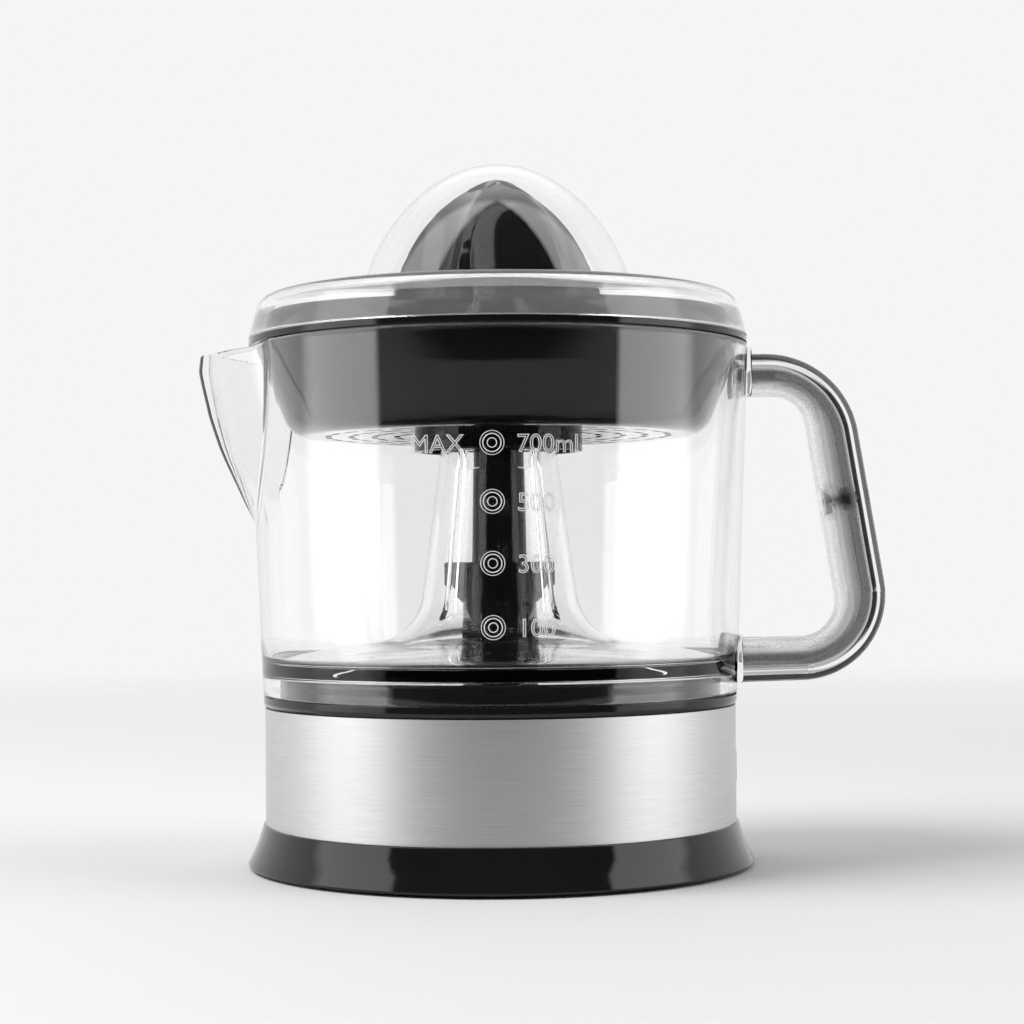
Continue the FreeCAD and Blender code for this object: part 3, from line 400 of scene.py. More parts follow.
def handle_depth(tree):
    """Depth below the handle's outline in millimetres: three straight runs, two round corners."""
    x, _, z = object_axes(tree)
    runs = []
    for start, end in zip(HANDLE_OUTLINE, HANDLE_OUTLINE[1:]):
        along = np.array(end[:2], float) - np.array(start[:2], float)
        along /= np.linalg.norm(along)
        out = np.array([-along[1], along[0]])
        across = maths(tree, "MULTIPLY", x, out[0] / MM)
        both = maths(tree, "MULTIPLY_ADD", z, out[1] / MM, across)
        runs.append((maths(tree, "SUBTRACT", both, float(out @ np.array(start[:2]))), out))
    beyond = runs[0][0]
    for run, _ in runs[1:]:
        beyond = maths(tree, "MAXIMUM", beyond, run)
    for (first, first_out), (second, second_out), corner in zip(runs, runs[1:], HANDLE_OUTLINE[1:]):
        radius = corner[2]
        cos = float(first_out @ second_out)
        u, v = maths(tree, "ADD", first, radius), maths(tree, "ADD", second, radius)
        squares = maths(tree, "ADD", maths(tree, "MULTIPLY", u, u), maths(tree, "MULTIPLY", v, v))
        product = maths(tree, "MULTIPLY", maths(tree, "MULTIPLY", u, v), -2 * cos)
        reach = maths(tree, "MAXIMUM", maths(tree, "ADD", squares, product), 0.0)
        reach = maths(tree, "DIVIDE", maths(tree, "SQRT", reach), math.sqrt(1 - cos ** 2))
        reach = maths(tree, "SUBTRACT", reach, radius)
        past_first = maths(tree, "GREATER_THAN", u, maths(tree, "MULTIPLY", v, cos))
        past_second = maths(tree, "GREATER_THAN", v, maths(tree, "MULTIPLY", u, cos))
        positive = maths(tree, "GREATER_THAN", maths(tree, "MINIMUM", u, v), 0.0)
        inside = maths(tree, "MULTIPLY", maths(tree, "MULTIPLY", past_first, past_second), positive)
        held = maths(tree, "MULTIPLY", maths(tree, "ADD", reach, FAR_INSIDE), inside)
        beyond = maths(tree, "MAXIMUM", beyond, maths(tree, "SUBTRACT", held, FAR_INSIDE))
    return maths(tree, "MULTIPLY", beyond, -1.0)


def paint_shade_lines(tree, stops):
    """Painted shade: a near-black layer mixed over the clear surface by depth below the handle's
    outline.
    """
    deepest = stops[-1][0]
    share = maths(tree, "DIVIDE", handle_depth(tree), deepest)
    dark = grey_ramp(tree, share, [(depth / deepest, level) for depth, level in stops])
    # A near-black gloss layer: painted shade for the dark lines that refraction makes in the
    # handle.
    painted_shade_layer = add(tree, "BsdfPrincipled")
    painted_shade_layer.inputs["Base Color"].default_value = (0.012, 0.012, 0.013, 1)
    painted_shade_layer.inputs["Roughness"].default_value = 0.25
    overlay(tree, dark, painted_shade_layer)


def frosted_plastic():
    """Translucent moulding with a sand-blasted face, with painted shade where the cover's rib is
    behind it.
    """
    material, tree, shader = clear_plastic(
        "frosted_plastic", (0.99, 0.99, 0.995), 0.3, CLEAR_IOR, 0.85)
    grain = noise(tree, 3200, detail=4)
    tree.links.new(ranged(tree, grain, 0.22, 0.38), shader.inputs["Roughness"])
    bumped(tree, shader, grain, 0.12, 0.00005)
    skin = add(tree, "BsdfTransparent")
    skin.inputs[0].default_value = (0.985, 0.985, 0.99, 1)
    overlay(tree, GRIP_THINNESS, skin)
    # Painted shade: the cover's rib seen through the frosted wall darkens the grip here.
    paint_shade_lines(tree, GRIP_PAINTED_SHADE)
    return material


def cover_plastic():
    """Clear cover strip with painted shade for the dark lines that refraction makes at its rounded
    rim and its seat.
    """
    material, tree, _ = clear_plastic("clear_cover", (0.99, 0.995, 1.0), 0.01, CLEAR_IOR, 0.9)
    # Painted shade: the dark refraction lines of the cover's rounded rim and its seat.
    paint_shade_lines(tree, COVER_PAINTED_SHADE)
    return material


def lid_plastic():
    """Clear lid moulding with a faint haze in the sloped rim below its flat ring."""
    material, tree, _ = clear_plastic("clear_lid", (0.998, 0.999, 1.0), 0.0, CLEAR_IOR, 0.95)
    height = object_axes(tree)[2]
    low_zone = ranged(tree, height, RIM_HAZE, 0.0, (DOME_BASE - 2.5) * MM, (DOME_BASE - 0.8) * MM)
    haze = add(tree, "BsdfTranslucent")
    haze.inputs[0].default_value = (0.95, 0.95, 0.96, 1)
    overlay(tree, low_zone, haze)
    return material


def around_axis(tree, along, across):
    """Coordinates that follow the drive axis: angle times `along`, and height times `across`."""
    x, y, z = object_axes(tree)
    joined = add(tree, "CombineXYZ")
    tree.links.new(maths(tree, "MULTIPLY", maths(tree, "ARCTAN2", y, x), along), joined.inputs[0])
    tree.links.new(maths(tree, "MULTIPLY", z, across), joined.inputs[1])
    return joined.outputs[0]


def brushed_band():
    """Stainless sheet with fine brushing round the band."""
    material, tree, shader = blank("brushed_band")
    shader.inputs["Metallic"].default_value = 1.0
    shader.inputs["Anisotropic"].default_value = 0.6
    shader.inputs["Anisotropic Rotation"].default_value = 0.25
    streaks = []
    for along, across, detail in ((3.5, 5200, 3.0), (9.0, 14000, 2.0)):
        texture = add(tree, "TexNoise")
        texture.inputs["Scale"].default_value = 1.0
        texture.inputs["Detail"].default_value = detail
        tree.links.new(around_axis(tree, along, across), texture.inputs["Vector"])
        streaks.append(texture.outputs["Fac"])
    both = add(tree, "Mix", data_type="FLOAT")
    both.inputs[0].default_value = 0.45
    tree.links.new(streaks[0], both.inputs[2])
    tree.links.new(streaks[1], both.inputs[3])
    streak = both.outputs[0]
    tinted(tree, shader, streak, (0.58, 0.58, 0.585), (0.78, 0.78, 0.785))
    tree.links.new(ranged(tree, streak, 0.50, 0.60), shader.inputs["Roughness"])
    bumped(tree, shader, streak, 0.12, 0.00004)
    tangent = add(tree, "Tangent", direction_type="RADIAL", axis="Z")
    tree.links.new(tangent.outputs[0], shader.inputs["Tangent"])
    return material


def scaled(colour, factor):
    """A colour made darker or lighter, up to white."""
    return tuple(min(1, c * factor) for c in colour)


def metal(name, colour, rough, grain_scale=1500):
    """Plain machined, plated or stamped metal with fine tool texture."""
    material, tree, shader = blank(name)
    shader.inputs["Metallic"].default_value = 1.0
    grain = noise(tree, grain_scale, detail=4)
    tinted(tree, shader, grain, scaled(colour, 0.85), scaled(colour, 1.12))
    tree.links.new(ranged(tree, grain, rough - 0.06, rough + 0.08), shader.inputs["Roughness"])
    bumped(tree, shader, grain, 0.15, 0.00004)
    return material


def layered_metal(name, colour, rough, pitch_mm):
    """Metal in thin layers along Z, such as laminations or a tight winding."""
    material, tree, shader = blank(name)
    shader.inputs["Metallic"].default_value = 1.0
    place = add(tree, "TexCoord")
    wave = add(tree, "TexWave", bands_direction="Z")
    wave.inputs["Scale"].default_value = math.pi / (WAVE_RATE * pitch_mm * MM)
    wave.inputs["Distortion"].default_value = 0.4
    tree.links.new(place.outputs["Object"], wave.inputs["Vector"])
    layers = wave.outputs["Fac"]
    tinted(tree, shader, layers, scaled(colour, 0.6), colour)
    tree.links.new(ranged(tree, layers, rough, rough + 0.15), shader.inputs["Roughness"])
    bumped(tree, shader, layers, 0.6, 0.0002)
    return material


def moulded(name, colour, rough):
    """Coloured engineering plastic with a fine moulded grain."""
    material, tree, shader = blank(name)
    grain = noise(tree, 900, detail=4)
    tinted(tree, shader, grain, scaled(colour, 0.92), scaled(colour, 1.05))
    tree.links.new(ranged(tree, grain, rough - 0.07, rough + 0.07), shader.inputs["Roughness"])
    bumped(tree, shader, grain, 0.12, 0.00005)
    return material


def rubber():
    """Black rubber with a soft grain."""
    material, tree, shader = blank("rubber")
    grain = noise(tree, 1800, detail=5)
    tinted(tree, shader, grain, (0.014, 0.014, 0.014), (0.03, 0.03, 0.03))
    tree.links.new(ranged(tree, grain, 0.55, 0.8), shader.inputs["Roughness"])
    bumped(tree, shader, grain, 0.3, 0.00008)
    return material


GLOSS = gloss_black()
CONE_GLOSS = gloss_black("cone_gloss", 0.09, 0.13)
CLEAR_JUG = clear_plastic("clear_jug", (0.998, 0.999, 1.0), 0.0, CLEAR_IOR, 0.93)[0]
CLEAR_LID = lid_plastic()
CLEAR_COVER = cover_plastic()
FROSTED = frosted_plastic()
CAD_MATERIALS = {
    "black_gloss": GLOSS,
    "black_matte": matte_black(),
    "brushed_band": brushed_band(),
    "rubber": rubber(),
    "bright_steel": metal("bright_steel", (0.62, 0.62, 0.63), 0.24),
    "zinc_screw": metal("zinc_screw", (0.66, 0.67, 0.7), 0.3, 2200),
    "core_steel": layered_metal("core_steel", (0.34, 0.34, 0.35), 0.42, 0.5),
    "copper": layered_metal("copper", (0.72, 0.32, 0.14), 0.3, 0.35),
    "ferrite": moulded("ferrite", (0.06, 0.06, 0.065), 0.6),
    "bronze": metal("bronze", (0.6, 0.42, 0.2), 0.42),
    "gear_white": moulded("gear_white", (0.8, 0.79, 0.74), 0.38),
    "gearbox_grey": moulded("gearbox_grey", (0.2, 0.21, 0.22), 0.5),
    "switch_black": matte_black("switch_black", 0.03, 0.42),
    "button_red": moulded("button_red", (0.45, 0.02, 0.015), 0.3),
    "brass_tabs": metal("brass_tabs", (0.78, 0.6, 0.28), 0.28),
    "clear_jug": CLEAR_JUG,
    "clear_lid": CLEAR_LID,
    "clear_cover": CLEAR_COVER,
    "frosted_grip": FROSTED,
}


def dress_cad_nodes():
    """Every node that stays shown takes the material of its slot."""
    for part in frame["record"]["subparts"]:
        mesh = NODES[part["node"]].data
        mesh.materials.clear()
        mesh.materials.append(CAD_MATERIALS[part["material_slot"]])


dress_cad_nodes()


# ================= lid =================

LID_RING = 160.9         # height of the flat ring round the dome
LID_MOUTH_R = 66.9       # inner radius of the lid's rim
DOME_JOIN = 162.6        # where the dome takes over from the fillet at its foot


def make_lid():
    """Clear lid: a rim on the strainer, a sloped skirt, a flat ring and a tall dome."""
    skirt = rounded([(LID_R, LID_BOTTOM), (67.6, LID_RING, 4.5), (42.0, LID_RING)], step=5)
    turns = np.linspace(0, math.pi / 2, 64)
    rise = np.sin(turns) ** (2 / DOME_POWER)
    dome = np.stack([DOME_R * np.cos(turns), DOME_BASE + (LID_TOP - DOME_BASE) * rise], axis=1)
    normal = np.stack([2 * dome[:, 0] / DOME_R ** 2,
                       DOME_POWER * rise ** (DOME_POWER - 1) / (LID_TOP - DOME_BASE)], axis=1)
    inner_dome = dome - LID_WALL * normal / np.linalg.norm(normal, axis=1, keepdims=True)
    fillet = rounded([(41.5, LID_RING), (DOME_R, LID_RING, 1.4), (DOME_R, 164.0)], step=12)[1:-1]
    outer = np.array(skirt + fillet + list(dome[dome[:, 1] > DOME_JOIN]))
    inner_skirt = offset_left(np.array(divided(skirt, 1.2)), LID_WALL)
    inner_skirt = inner_skirt[(inner_skirt[:, 1] > 154.0) & (inner_skirt[:, 0] > DOME_R + 1.0)]
    inside, under = DOME_R - LID_WALL, LID_RING - LID_WALL
    inner_fillet = rounded([(DOME_R + 0.6, under), (inside, under, 1.0), (inside, 162.0)], step=15)
    inner_dome = inner_dome[inner_dome[:, 1] > DOME_JOIN]
    profile = [(LID_MOUTH_R, LID_BOTTOM), (LID_MOUTH_R, 152.6), *inner_skirt, *inner_fillet[1:],
               *inner_dome[:-1], (0.0, LID_TOP - LID_WALL), *outer[::-1]]
    lid = lathe("lid_shell", profile, "lid_body", 256)
    lid.data.materials.append(CLEAR_LID)
    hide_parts("lid")
    return lid


make_lid()


# ================= jug =================

# Section of the spout down its middle as (height, radius), how far the spout stands out across
# its width as (share of its half-angle, share of its reach), and the rounded edge of the rim
# as (inset from the outer wall, drop below the top).
SPOUT_TIP = [(95.2, 0.0), (97.0, 69.6), (101.7, 72.1), (106.0, 74.1), (110.3, 76.1), (114.6, 78.1),
             (118.9, 79.9), (123.1, 81.3), (127.4, 82.7), (131.7, 83.7), (136.0, 84.7),
             (140.3, 85.55), (SPOUT_RIM, SPOUT_TIP_R)]
SPOUT_REACH = SPOUT_TIP_R - JUG_RIM_R
SPOUT_FALL = np.array(smooth_curve([
    (-0.185, 0.74), (0.0, 1.0), (0.185, 0.74), (0.467, 0.487), (0.65, 0.319), (0.82, 0.163),
    (1.0, 0.0),
], 10))
RIM_CORNER = [(0.0, 0.8), (0.06, 0.49), (0.23, 0.23), (0.49, 0.06), (0.8, 0.0), (1.2, 0.0),
              (1.6, 0.0), (1.91, 0.06), (2.17, 0.23), (2.34, 0.49), (2.4, 0.8)]
SPOUT_FLANKS = (30, 21)        # degrees over which the rim drops to the spout
RIB_ANGLES = (45, 135, 225, 315)
RIB_HALF_ANGLE = 2.7           # half of a chimney rib, in degrees
RIB_HEIGHTS = (70.0, 117.5)
RIB_RADII = (17.6, 12.9)       # how near to the axis a rib's inner edge comes at those heights


def wall_radius(z):
    """Outer radius of the jug's tapered wall."""
    return JUG_FOOT_R + (JUG_RIM_R - JUG_FOOT_R) * (z - JUG_BOTTOM) / (JUG_RIM - JUG_BOTTOM)


def outer_radius(turn, z):
    """Outer radius at an angle from the spout's middle, in degrees, and a height."""
    heights = [row[0] for row in SPOUT_TIP]
    tips = [wall_radius(SPOUT_TIP[0][0])] + [row[1] for row in SPOUT_TIP[1:]]
    reach = np.maximum(np.interp(z, heights, tips) - wall_radius(z), 0)
    reach = np.where(np.asarray(z) < heights[0], 0, reach)
    half = SPOUT_HALF_ANGLE * np.sqrt(np.maximum(reach, 0.02) / SPOUT_REACH)
    fall = np.interp(np.abs(turn) / half, SPOUT_FALL[:, 0], SPOUT_FALL[:, 1], right=0.0)
    return wall_radius(z) + reach * fall


def radial_wall(turn, z):
    """Wall thickness measured along the radius: more where the spout's flank slants."""
    step = 0.2
    slope = (outer_radius(turn + step, z) - outer_radius(turn - step, z)) / math.radians(2 * step)
    slant = np.sqrt(1 + (slope / outer_radius(turn, z)) ** 2)
    return JUG_WALL * slant


def jug_angles():
    """Angles from the spout's middle, close together at the spout and at the chimney's ribs."""
    angles = set(np.round(np.arange(-180, 180, 2.0), 3))
    angles |= set(np.round(np.arange(-30, 30.01, 0.4), 3))
    for rib in RIB_ANGLES:
        for side in (-3.3, -2.8, -2.5, 2.5, 2.8, 3.3):
            angles.add(round((rib + side) % 360 - 180, 3))
    return sorted(angles)


def make_jug():
    """Clear jug: floor with a ribbed chimney, tapered wall, spout, rim and the handle's pads."""
    floor = rounded([
        (65.1, 61.0), (65.1, 57.05, 2.4), (23.4, 65.0, 16), (16.3, 119.0, 0.7),
        (14.1, 119.0, 0.7), (20.9, 62.9, 18), (64.9, 54.6, 1.0), (64.7, JUG_BOTTOM, 0.6),
        (JUG_FOOT_R, JUG_BOTTOM, 0.6), (wall_radius(WALL_START), WALL_START),
    ], step=9)
    floor = np.array(divided(floor, 4.0))[1:-1]
    chimney_top = int(np.argmax(floor[:, 1]))
    past_top = np.arange(len(floor)) > chimney_top + 1
    radius, height = floor.T
    ribbed = past_top & (height > RIB_HEIGHTS[0]) & (height < RIB_HEIGHTS[1]) & (radius < 30)
    outer_z = np.concatenate([
        np.arange(WALL_START, SPOUT_START, 3.0), np.arange(SPOUT_START, JUG_RIM - 1.0, 1.1)])
    inner_z = outer_z[outer_z > 62.0]
    columns = []
    for turn in jug_angles():
        near = float(smoothstep(*SPOUT_FLANKS, abs(turn)))
        top = JUG_RIM - (JUG_RIM - SPOUT_RIM) * near
        squeeze = (top - JUG_BOTTOM) / (JUG_RIM - JUG_BOTTOM)
        z_out = JUG_BOTTOM + (outer_z - JUG_BOTTOM) * squeeze
        z_in = (JUG_BOTTOM + (inner_z - JUG_BOTTOM) * squeeze)[::-1]
        outer = [(r, z) for r, z in zip(outer_radius(turn, z_out), z_out)]
        rim_z = np.array([top - drop for _, drop in RIM_CORNER])
        rim_in = np.array([inset / JUG_WALL for inset, _ in RIM_CORNER])
        rim_r = outer_radius(turn, rim_z) - rim_in * radial_wall(turn, rim_z)
        inner_r = outer_radius(turn, z_in) - radial_wall(turn, z_in)
        lower = floor.copy()
        rib = min(abs((turn + 180 - angle + 180) % 360 - 180) for angle in RIB_ANGLES)
        if rib < RIB_HALF_ANGLE:
            edge = np.interp(height[ribbed], RIB_HEIGHTS, RIB_RADII)
            lower[ribbed, 0] = np.minimum(lower[ribbed, 0], edge)
        column = [*outer, *zip(rim_r, rim_z), *zip(inner_r, z_in), *lower]
        angle = math.radians(turn + 180)
        columns.append([(r * math.cos(angle), r * math.sin(angle), z) for r, z in column])
    grid = np.array(columns)
    faces = grid_faces(grid.shape[0], grid.shape[1], True, True)
    jug = mesh_object("jug_shell", grid.reshape(-1, 3), faces, "jug_body")
    for piece in (
        rounded_plate("upper_pad", 69.2, 71.45, 11.1, 131.9, 145.6, 3),
        rounded_plate("lower_pad", 65.9, 68.15, 11.1, 50.9, 64.5, 3),
        rounded_plate("upper_spigot", 69.0, 78.5, 6.5, 135.2, 139.2, 0.5),
        rounded_plate("lower_spigot", 66.0, 75.6, 6.5, 56.6, 61.2, 0.5),
    ):
        apply_modifier(jug, "BOOLEAN", operation="UNION", object=piece, solver="EXACT")
        bpy.data.objects.remove(piece)
    resharpen(jug)
    jug.data.materials.clear()
    jug.data.materials.append(CLEAR_JUG)
    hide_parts("jug")
    return jug


def rounded_plate(name, near, far, half, bottom, top, radius):
    """Plate across the X axis with its four corners rounded."""
    outline = rounded([(-half, bottom, radius), (half, bottom, radius), (half, top, radius),
                       (-half, top, radius)], closed=True, step=15)
    count = len(outline)
    vertices = [(x, y, z) for x in (near, far) for y, z in outline]
    faces = [(k, (k + 1) % count, count + (k + 1) % count, count + k) for k in range(count)]
    faces += [tuple(range(count)), tuple(range(count, 2 * count))]
    mesh = bpy.data.meshes.new(name)
    mesh.from_pydata([tuple(np.array(v) * MM) for v in vertices], [], faces)
    built = bmesh.new()
    built.from_mesh(mesh)
    bmesh.ops.recalc_face_normals(built, faces=built.faces)
    built.to_mesh(mesh)
    built.free()
    return placed(name, mesh)


make_jug()


# ================= reamer cone =================

# (radius, height) down the ribs' crests and down the floors of the valleys between them
CREST = [(0.0, CONE_TIP), (3.6, 194.3), (7.9, 192.1), (11.4, 189.9), (14.3, 187.6), (17.0, 185.3),
         (19.0, 183.0), (21.0, 180.7), (22.7, 178.4), (24.1, 176.1), (25.4, 173.9), (26.4, 171.6),
         (27.6, 169.3), (28.6, 165.4), (29.3, 160.7), (29.65, 155.0), (29.8, CONE_BASE)]
VALLEY_DIRECTIONS = (41, 101, 161, 221, 281, 341)
VALLEY_FLOOR = [(1.6, 194.6), (5.6, 192.3), (11.2, 188.0), (16.4, 181.0), (19.9, 169.6),
                (22.3, 159.0), (23.0, CONE_BASE)]
HALF_PITCH = 30          # degrees from a valley's middle to a rib's
VALLEY_CUTTER = 18.5     # radius of the round scoop that makes a valley
RIB_STEP = 0.5           # how much lower one flank of each rib stands
STEP_RUN = (1.5, 1.9)    # over this distance from the rib's middle
RIB_ROUNDING = 0.4
CAP_START = 188          # above this height the rows follow the tip's curve


def edge_angle(outer_r, middle):
    """Degrees from a valley's middle to the place where its scoop reaches a radius."""
    cos = (middle ** 2 + outer_r ** 2 - VALLEY_CUTTER ** 2) / (2 * middle * outer_r)
    return max(math.degrees(math.acos(min(cos, 1.0))), 0.4)


def cone_section(crest_r, floor_r):
    """Angles and radii of one sixth of the cone at one height, from rib middle to rib middle."""
    middle = floor_r + VALLEY_CUTTER
    step = RIB_STEP if crest_r > 9 and floor_r < crest_r - 2 else 0.0
    before, after = edge_angle(crest_r, middle), edge_angle(crest_r - step, middle)
    close_to_edges = -np.cos(np.linspace(0, math.pi, 41))
    valley = (after - before) / 2 + (after + before) / 2 * close_to_edges
    away = np.linspace(0, 1, 10)[1:-1] ** 2
    angles = np.concatenate([
        [-HALF_PITCH], (-before - (HALF_PITCH - before) * away)[::-1],
        valley, after + (HALF_PITCH - after) * away,
    ])
    side = np.radians(np.abs(angles))
    half_chord = np.sqrt(np.maximum(VALLEY_CUTTER ** 2 - (middle * np.sin(side)) ** 2, 0))
    scooped = middle * np.cos(side) - half_chord
    from_rib = crest_r * np.radians(HALF_PITCH - angles)
    lowered = smoothstep(*STEP_RUN, from_rib) * (angles > 0)
    crown = crest_r - step * lowered
    share = np.clip(0.5 + 0.5 * (scooped - crown) / RIB_ROUNDING, 0, 1)
    radii = scooped + (crown - scooped) * share - RIB_ROUNDING * share * (1 - share)
    return angles, np.maximum(radii, 0.3)


def make_cone():
    """Reamer: six ribs left between six scooped valleys, with an edge line along each rib."""
    crest = np.array(smooth_curve(CREST, 4))
    floor = np.array(smooth_curve(VALLEY_FLOOR, 4))
    heights = np.concatenate([
        np.linspace(CONE_BASE, CONE_BASE + 0.6, 3), np.linspace(CONE_BASE + 1.5, CAP_START, 56),
        CAP_START + (CONE_TIP - CAP_START) * np.sin(np.linspace(0.06, 0.46 * math.pi, 26)),
    ])
    rows = []
    for z in heights:
        crest_r = np.interp(-z, -crest[:, 1], crest[:, 0])
        floor_r = np.interp(-z, -floor[:, 1], floor[:, 0], left=crest_r)
        angles, radii = cone_section(crest_r, min(floor_r, crest_r))
        turns = np.radians(np.concatenate([angles + way for way in VALLEY_DIRECTIONS]))
        radii = np.tile(radii, len(VALLEY_DIRECTIONS))
        height = np.full(len(turns), z)
        rows.append(np.stack([radii * np.cos(turns), radii * np.sin(turns), height], 1))
    grid = np.array(rows)
    row_count, around = grid.shape[:2]
    faces = grid_faces(row_count, around, False, True)
    vertices = list(grid.reshape(-1, 3)) + [(0, 0, CONE_BASE), (0, 0, CONE_TIP)]
    foot, tip, last = len(vertices) - 2, len(vertices) - 1, (row_count - 1) * around
    for column in range(around):
        after = (column + 1) % around
        faces.append((after, column, foot))
        faces.append((last + column, last + after, tip))
    cone = mesh_object("cone_shell", vertices, faces, "reamer")
    cone.data.materials.append(CONE_GLOSS)
    resharpen(cone, CONE_EDGE_ANGLE)
    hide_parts("cone")
    return cone


make_cone()


# ================= volume marks =================

# (height, word on the left, word on the right), and each ring's (radius, wire radius)
MARKS = [(115.9, "MAX", "700ml"), (100.9, "", "500"), (85.1, "", "300"), (68.7, "", "100")]
MARK_RINGS = [(3.08, 0.10), (2.32, 0.15), (1.2, 0.13)]
MARK_RING_X = -1.7
MARK_LEFT_X = -8.9
MARK_RIGHT_X = 4.6
MARK_HEIGHT = 4.8
MARK_WIRE = 0.13         # radius of the raised outline of the letters
CAP_SHARE = 0.73         # height of a capital as a share of the font's size
MARK_SINK = 0.04         # how far the marks' middle plane stands inside the wall


def moulded_mark():
    """Slightly frosted raised lettering."""
    material, _, shader = clear_plastic("moulded_mark", (1, 1, 1), 0.35, 1.45, 0.9)
    shader.inputs["Transmission Weight"].default_value = 0.45
    shader.inputs["Base Color"].default_value = (0.95, 0.95, 0.95, 1)
    return material


MARK = moulded_mark()


def wrap_to_wall(mesh):
    """Bend flat marks, drawn with x across and y up, round the jug's front wall."""
    for vertex in mesh.vertices:
        x, z, lift = vertex.co
        radius = float(wall_radius(z)) + lift - MARK_SINK
        turn = x / radius
        vertex.co = Vector((radius * math.sin(turn), -radius * math.cos(turn), z)) * MM


def outline_text(words, x, z, align):
    """Raised outline of a word."""
    data = bpy.data.curves.new(words, "FONT")
    data.body = words
    data.size = MARK_HEIGHT / CAP_SHARE
    data.align_x = align
    data.fill_mode = "NONE"
    data.bevel_depth = MARK_WIRE
    data.bevel_resolution = 2
    data.resolution_u = 5
    data.offset = -0.04
    item = placed(words, data)
    bpy.context.view_layer.update()
    graph = bpy.context.evaluated_depsgraph_get()
    mesh = bpy.data.meshes.new_from_object(item.evaluated_get(graph))
    bpy.data.objects.remove(item)
    for vertex in mesh.vertices:
        vertex.co += Vector((x, z - MARK_HEIGHT / 2, 0))
    return mesh


def ring_mesh(radius, wire, x, z, around=64, section=10):
    """Flat ring of round wire, drawn with x across and z up."""
    vertices = []
    for k in range(around):
        turn = 2 * math.pi * k / around
        for j in range(section):
            tilt = 2 * math.pi * j / section
            reach = radius + wire * math.cos(tilt)
            vertices.append((x + reach * math.cos(turn), z + reach * math.sin(turn),
                             wire * math.sin(tilt)))
    mesh = bpy.data.meshes.new("ring")
    mesh.from_pydata(vertices, [], grid_faces(around, section, True, True))
    return mesh


def make_marks():
    """Volume marks in relief on the jug's front: a ring with a word on one side or both."""
    for z, left, right in MARKS:
        parts = [ring_mesh(radius, wire, MARK_RING_X, z) for radius, wire in MARK_RINGS]
        parts.append(outline_text(right, MARK_RIGHT_X, z, "LEFT"))
        if left:
            parts.append(outline_text(left, MARK_LEFT_X, z, "RIGHT"))
        built = bmesh.new()
        for part in parts:
            built.from_mesh(part)
        name = "mark_" + right
        mesh = bpy.data.meshes.new(name)
        bmesh.ops.remove_doubles(built, verts=built.verts, dist=1e-4)
        bmesh.ops.recalc_face_normals(built, faces=built.faces)
        built.to_mesh(mesh)
        built.free()
        wrap_to_wall(mesh)
        mesh.shade_smooth()
        mesh.materials.append(MARK)
        mark = placed(name, mesh)
        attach(mark, "jug_body")


make_marks()


# ================= camera, light and floor =================

CAMERA_DISTANCE = 0.640
CAMERA_HEIGHT = 0.0849
CAMERA_LENS = 78.75              # in millimetres, on a sensor SENSOR_WIDTH wide
SENSOR_WIDTH = 36.0
CAMERA_PAN, CAMERA_TILT, CAMERA_ROLL = -0.33, 91.33, -0.45

# Brightness round the horizon, from straight in front of the press (0) to straight behind (1)
BACKGROUND = 0.913
SOFTBOX = 2.7
ROOM_DARK = 0.012
WORLD_STOPS = [(0.0, ROOM_DARK), (0.305, ROOM_DARK), (0.318, SOFTBOX), (0.52, SOFTBOX),
               (0.56, BACKGROUND), (1.0, BACKGROUND)]
OVERHEAD = 1.1
OVERHEAD_LEAN = 0.6              # the bright ceiling starts higher in front than behind
OVERHEAD_EDGE = (0.96, 1.08)

FLOOR_GREY = 0.56
FLOOR_DARK = 0.01
FLOOR_FRONT = (-0.30, -0.25)     # the floor ends in the dark room in front, between these Y
FLOOR_FADE = (0.35, 1.2)         # and fades into the sweep between these distances
FLOOR_RADIUS = 1.6
FLOOR_SIDES = 96

KEY_PLACE = (-0.72, -0.25, 1.12)
KEY_TARGET = (0.02, 0, 0.05)
KEY_SIZE = 0.7
KEY_WATTS = 13.0


def set_camera():
    """Camera at the photograph's viewing angle."""
    data = bpy.data.cameras.new("camera")
    data.lens = CAMERA_LENS
    data.sensor_width = SENSOR_WIDTH
    data.clip_end = 20.0
    camera = placed("camera", data)
    camera.matrix_world = (
        Matrix.Translation((0, -CAMERA_DISTANCE, CAMERA_HEIGHT))
        @ Matrix.Rotation(math.radians(CAMERA_PAN), 4, "Z")
        @ Matrix.Rotation(math.radians(CAMERA_TILT), 4, "X")
        @ Matrix.Rotation(math.radians(CAMERA_ROLL), 4, "Z")
    )
    bpy.context.scene.camera = camera


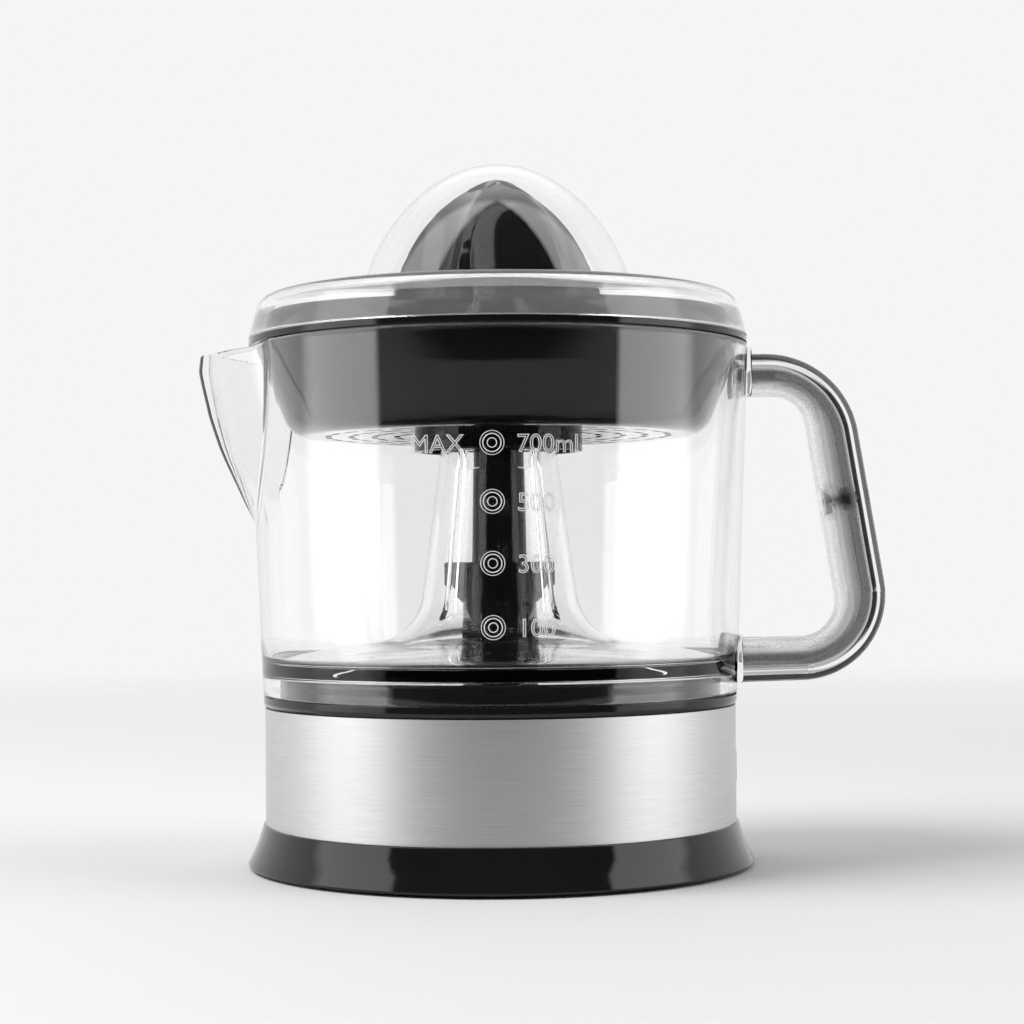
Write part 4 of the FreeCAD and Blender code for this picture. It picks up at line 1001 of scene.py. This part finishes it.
def set_world():
    """White sweep behind, a tall soft box on each side, and a dark room behind the camera."""
    world = bpy.data.worlds.new("studio")
    bpy.context.scene.world = world
    world.use_nodes = True
    tree = world.node_tree
    tree.nodes.clear()
    place = add(tree, "TexCoord")
    split = add(tree, "SeparateXYZ")
    tree.links.new(place.outputs["Generated"], split.inputs[0])
    across, along, up = split.outputs
    angle = maths(tree, "ARCTAN2", across, maths(tree, "MULTIPLY", along, -1.0))
    share = maths(tree, "DIVIDE", maths(tree, "ABSOLUTE", angle), math.pi)
    ramp = grey_ramp(tree, share, [(place, level / SOFTBOX) for place, level in WORLD_STOPS])
    leaning = maths(tree, "MULTIPLY_ADD", along, OVERHEAD_LEAN, up)
    above = ranged(tree, leaning, 0.0, 1.0, *OVERHEAD_EDGE)
    mix = add(tree, "Mix", data_type="RGBA")
    mix.inputs[7].default_value = (OVERHEAD / SOFTBOX,) * 3 + (1,)
    tree.links.new(above, mix.inputs[0])
    tree.links.new(ramp, mix.inputs[6])
    light = add(tree, "Background")
    light.inputs["Strength"].default_value = SOFTBOX
    tree.links.new(mix.outputs[2], light.inputs["Color"])
    output = add(tree, "OutputWorld")
    tree.links.new(light.outputs[0], output.inputs["Surface"])


def set_lamp():
    """Soft key lamp high on the left, seen only as light on what it falls on."""
    data = bpy.data.lights.new("key", "AREA")
    data.shape = "RECTANGLE"
    data.size = data.size_y = KEY_SIZE
    data.energy = KEY_WATTS
    lamp = placed("key", data)
    lamp.location = KEY_PLACE
    lamp.visible_glossy = False
    lamp.visible_transmission = False
    aim = Vector(KEY_TARGET) - Vector(KEY_PLACE)
    lamp.rotation_euler = aim.to_track_quat("-Z", "Y").to_euler()


def make_floor():
    """Pale round floor that fades out far from the object, so that no edge of it shows."""
    material, tree, shader = blank("floor")
    front = ranged(tree, object_axes(tree)[1], 0.0, 1.0, *FLOOR_FRONT)
    tinted(tree, shader, front, (FLOOR_DARK,) * 3, (FLOOR_GREY,) * 3, 0.0, 1.0)
    shader.inputs["Roughness"].default_value = 0.7
    shader.inputs["Specular IOR Level"].default_value = 0.2
    reach = add(tree, "VectorMath", operation="LENGTH")
    tree.links.new(add(tree, "TexCoord").outputs["Object"], reach.inputs[0])
    fade = ranged(tree, reach.outputs["Value"], 0.0, 1.0, *FLOOR_FADE)
    overlay(tree, fade, add(tree, "BsdfTransparent"))
    turns = [2 * math.pi * k / FLOOR_SIDES for k in range(FLOOR_SIDES)]
    rim = [(FLOOR_RADIUS * math.cos(turn), FLOOR_RADIUS * math.sin(turn), 0) for turn in turns]
    mesh = bpy.data.meshes.new("floor")
    mesh.from_pydata(rim, [], [tuple(range(FLOOR_SIDES))])
    mesh.materials.append(material)
    placed("floor", mesh)


set_camera()
set_world()
make_floor()
set_lamp()
bpy.context.scene.view_settings.view_transform = "Standard"
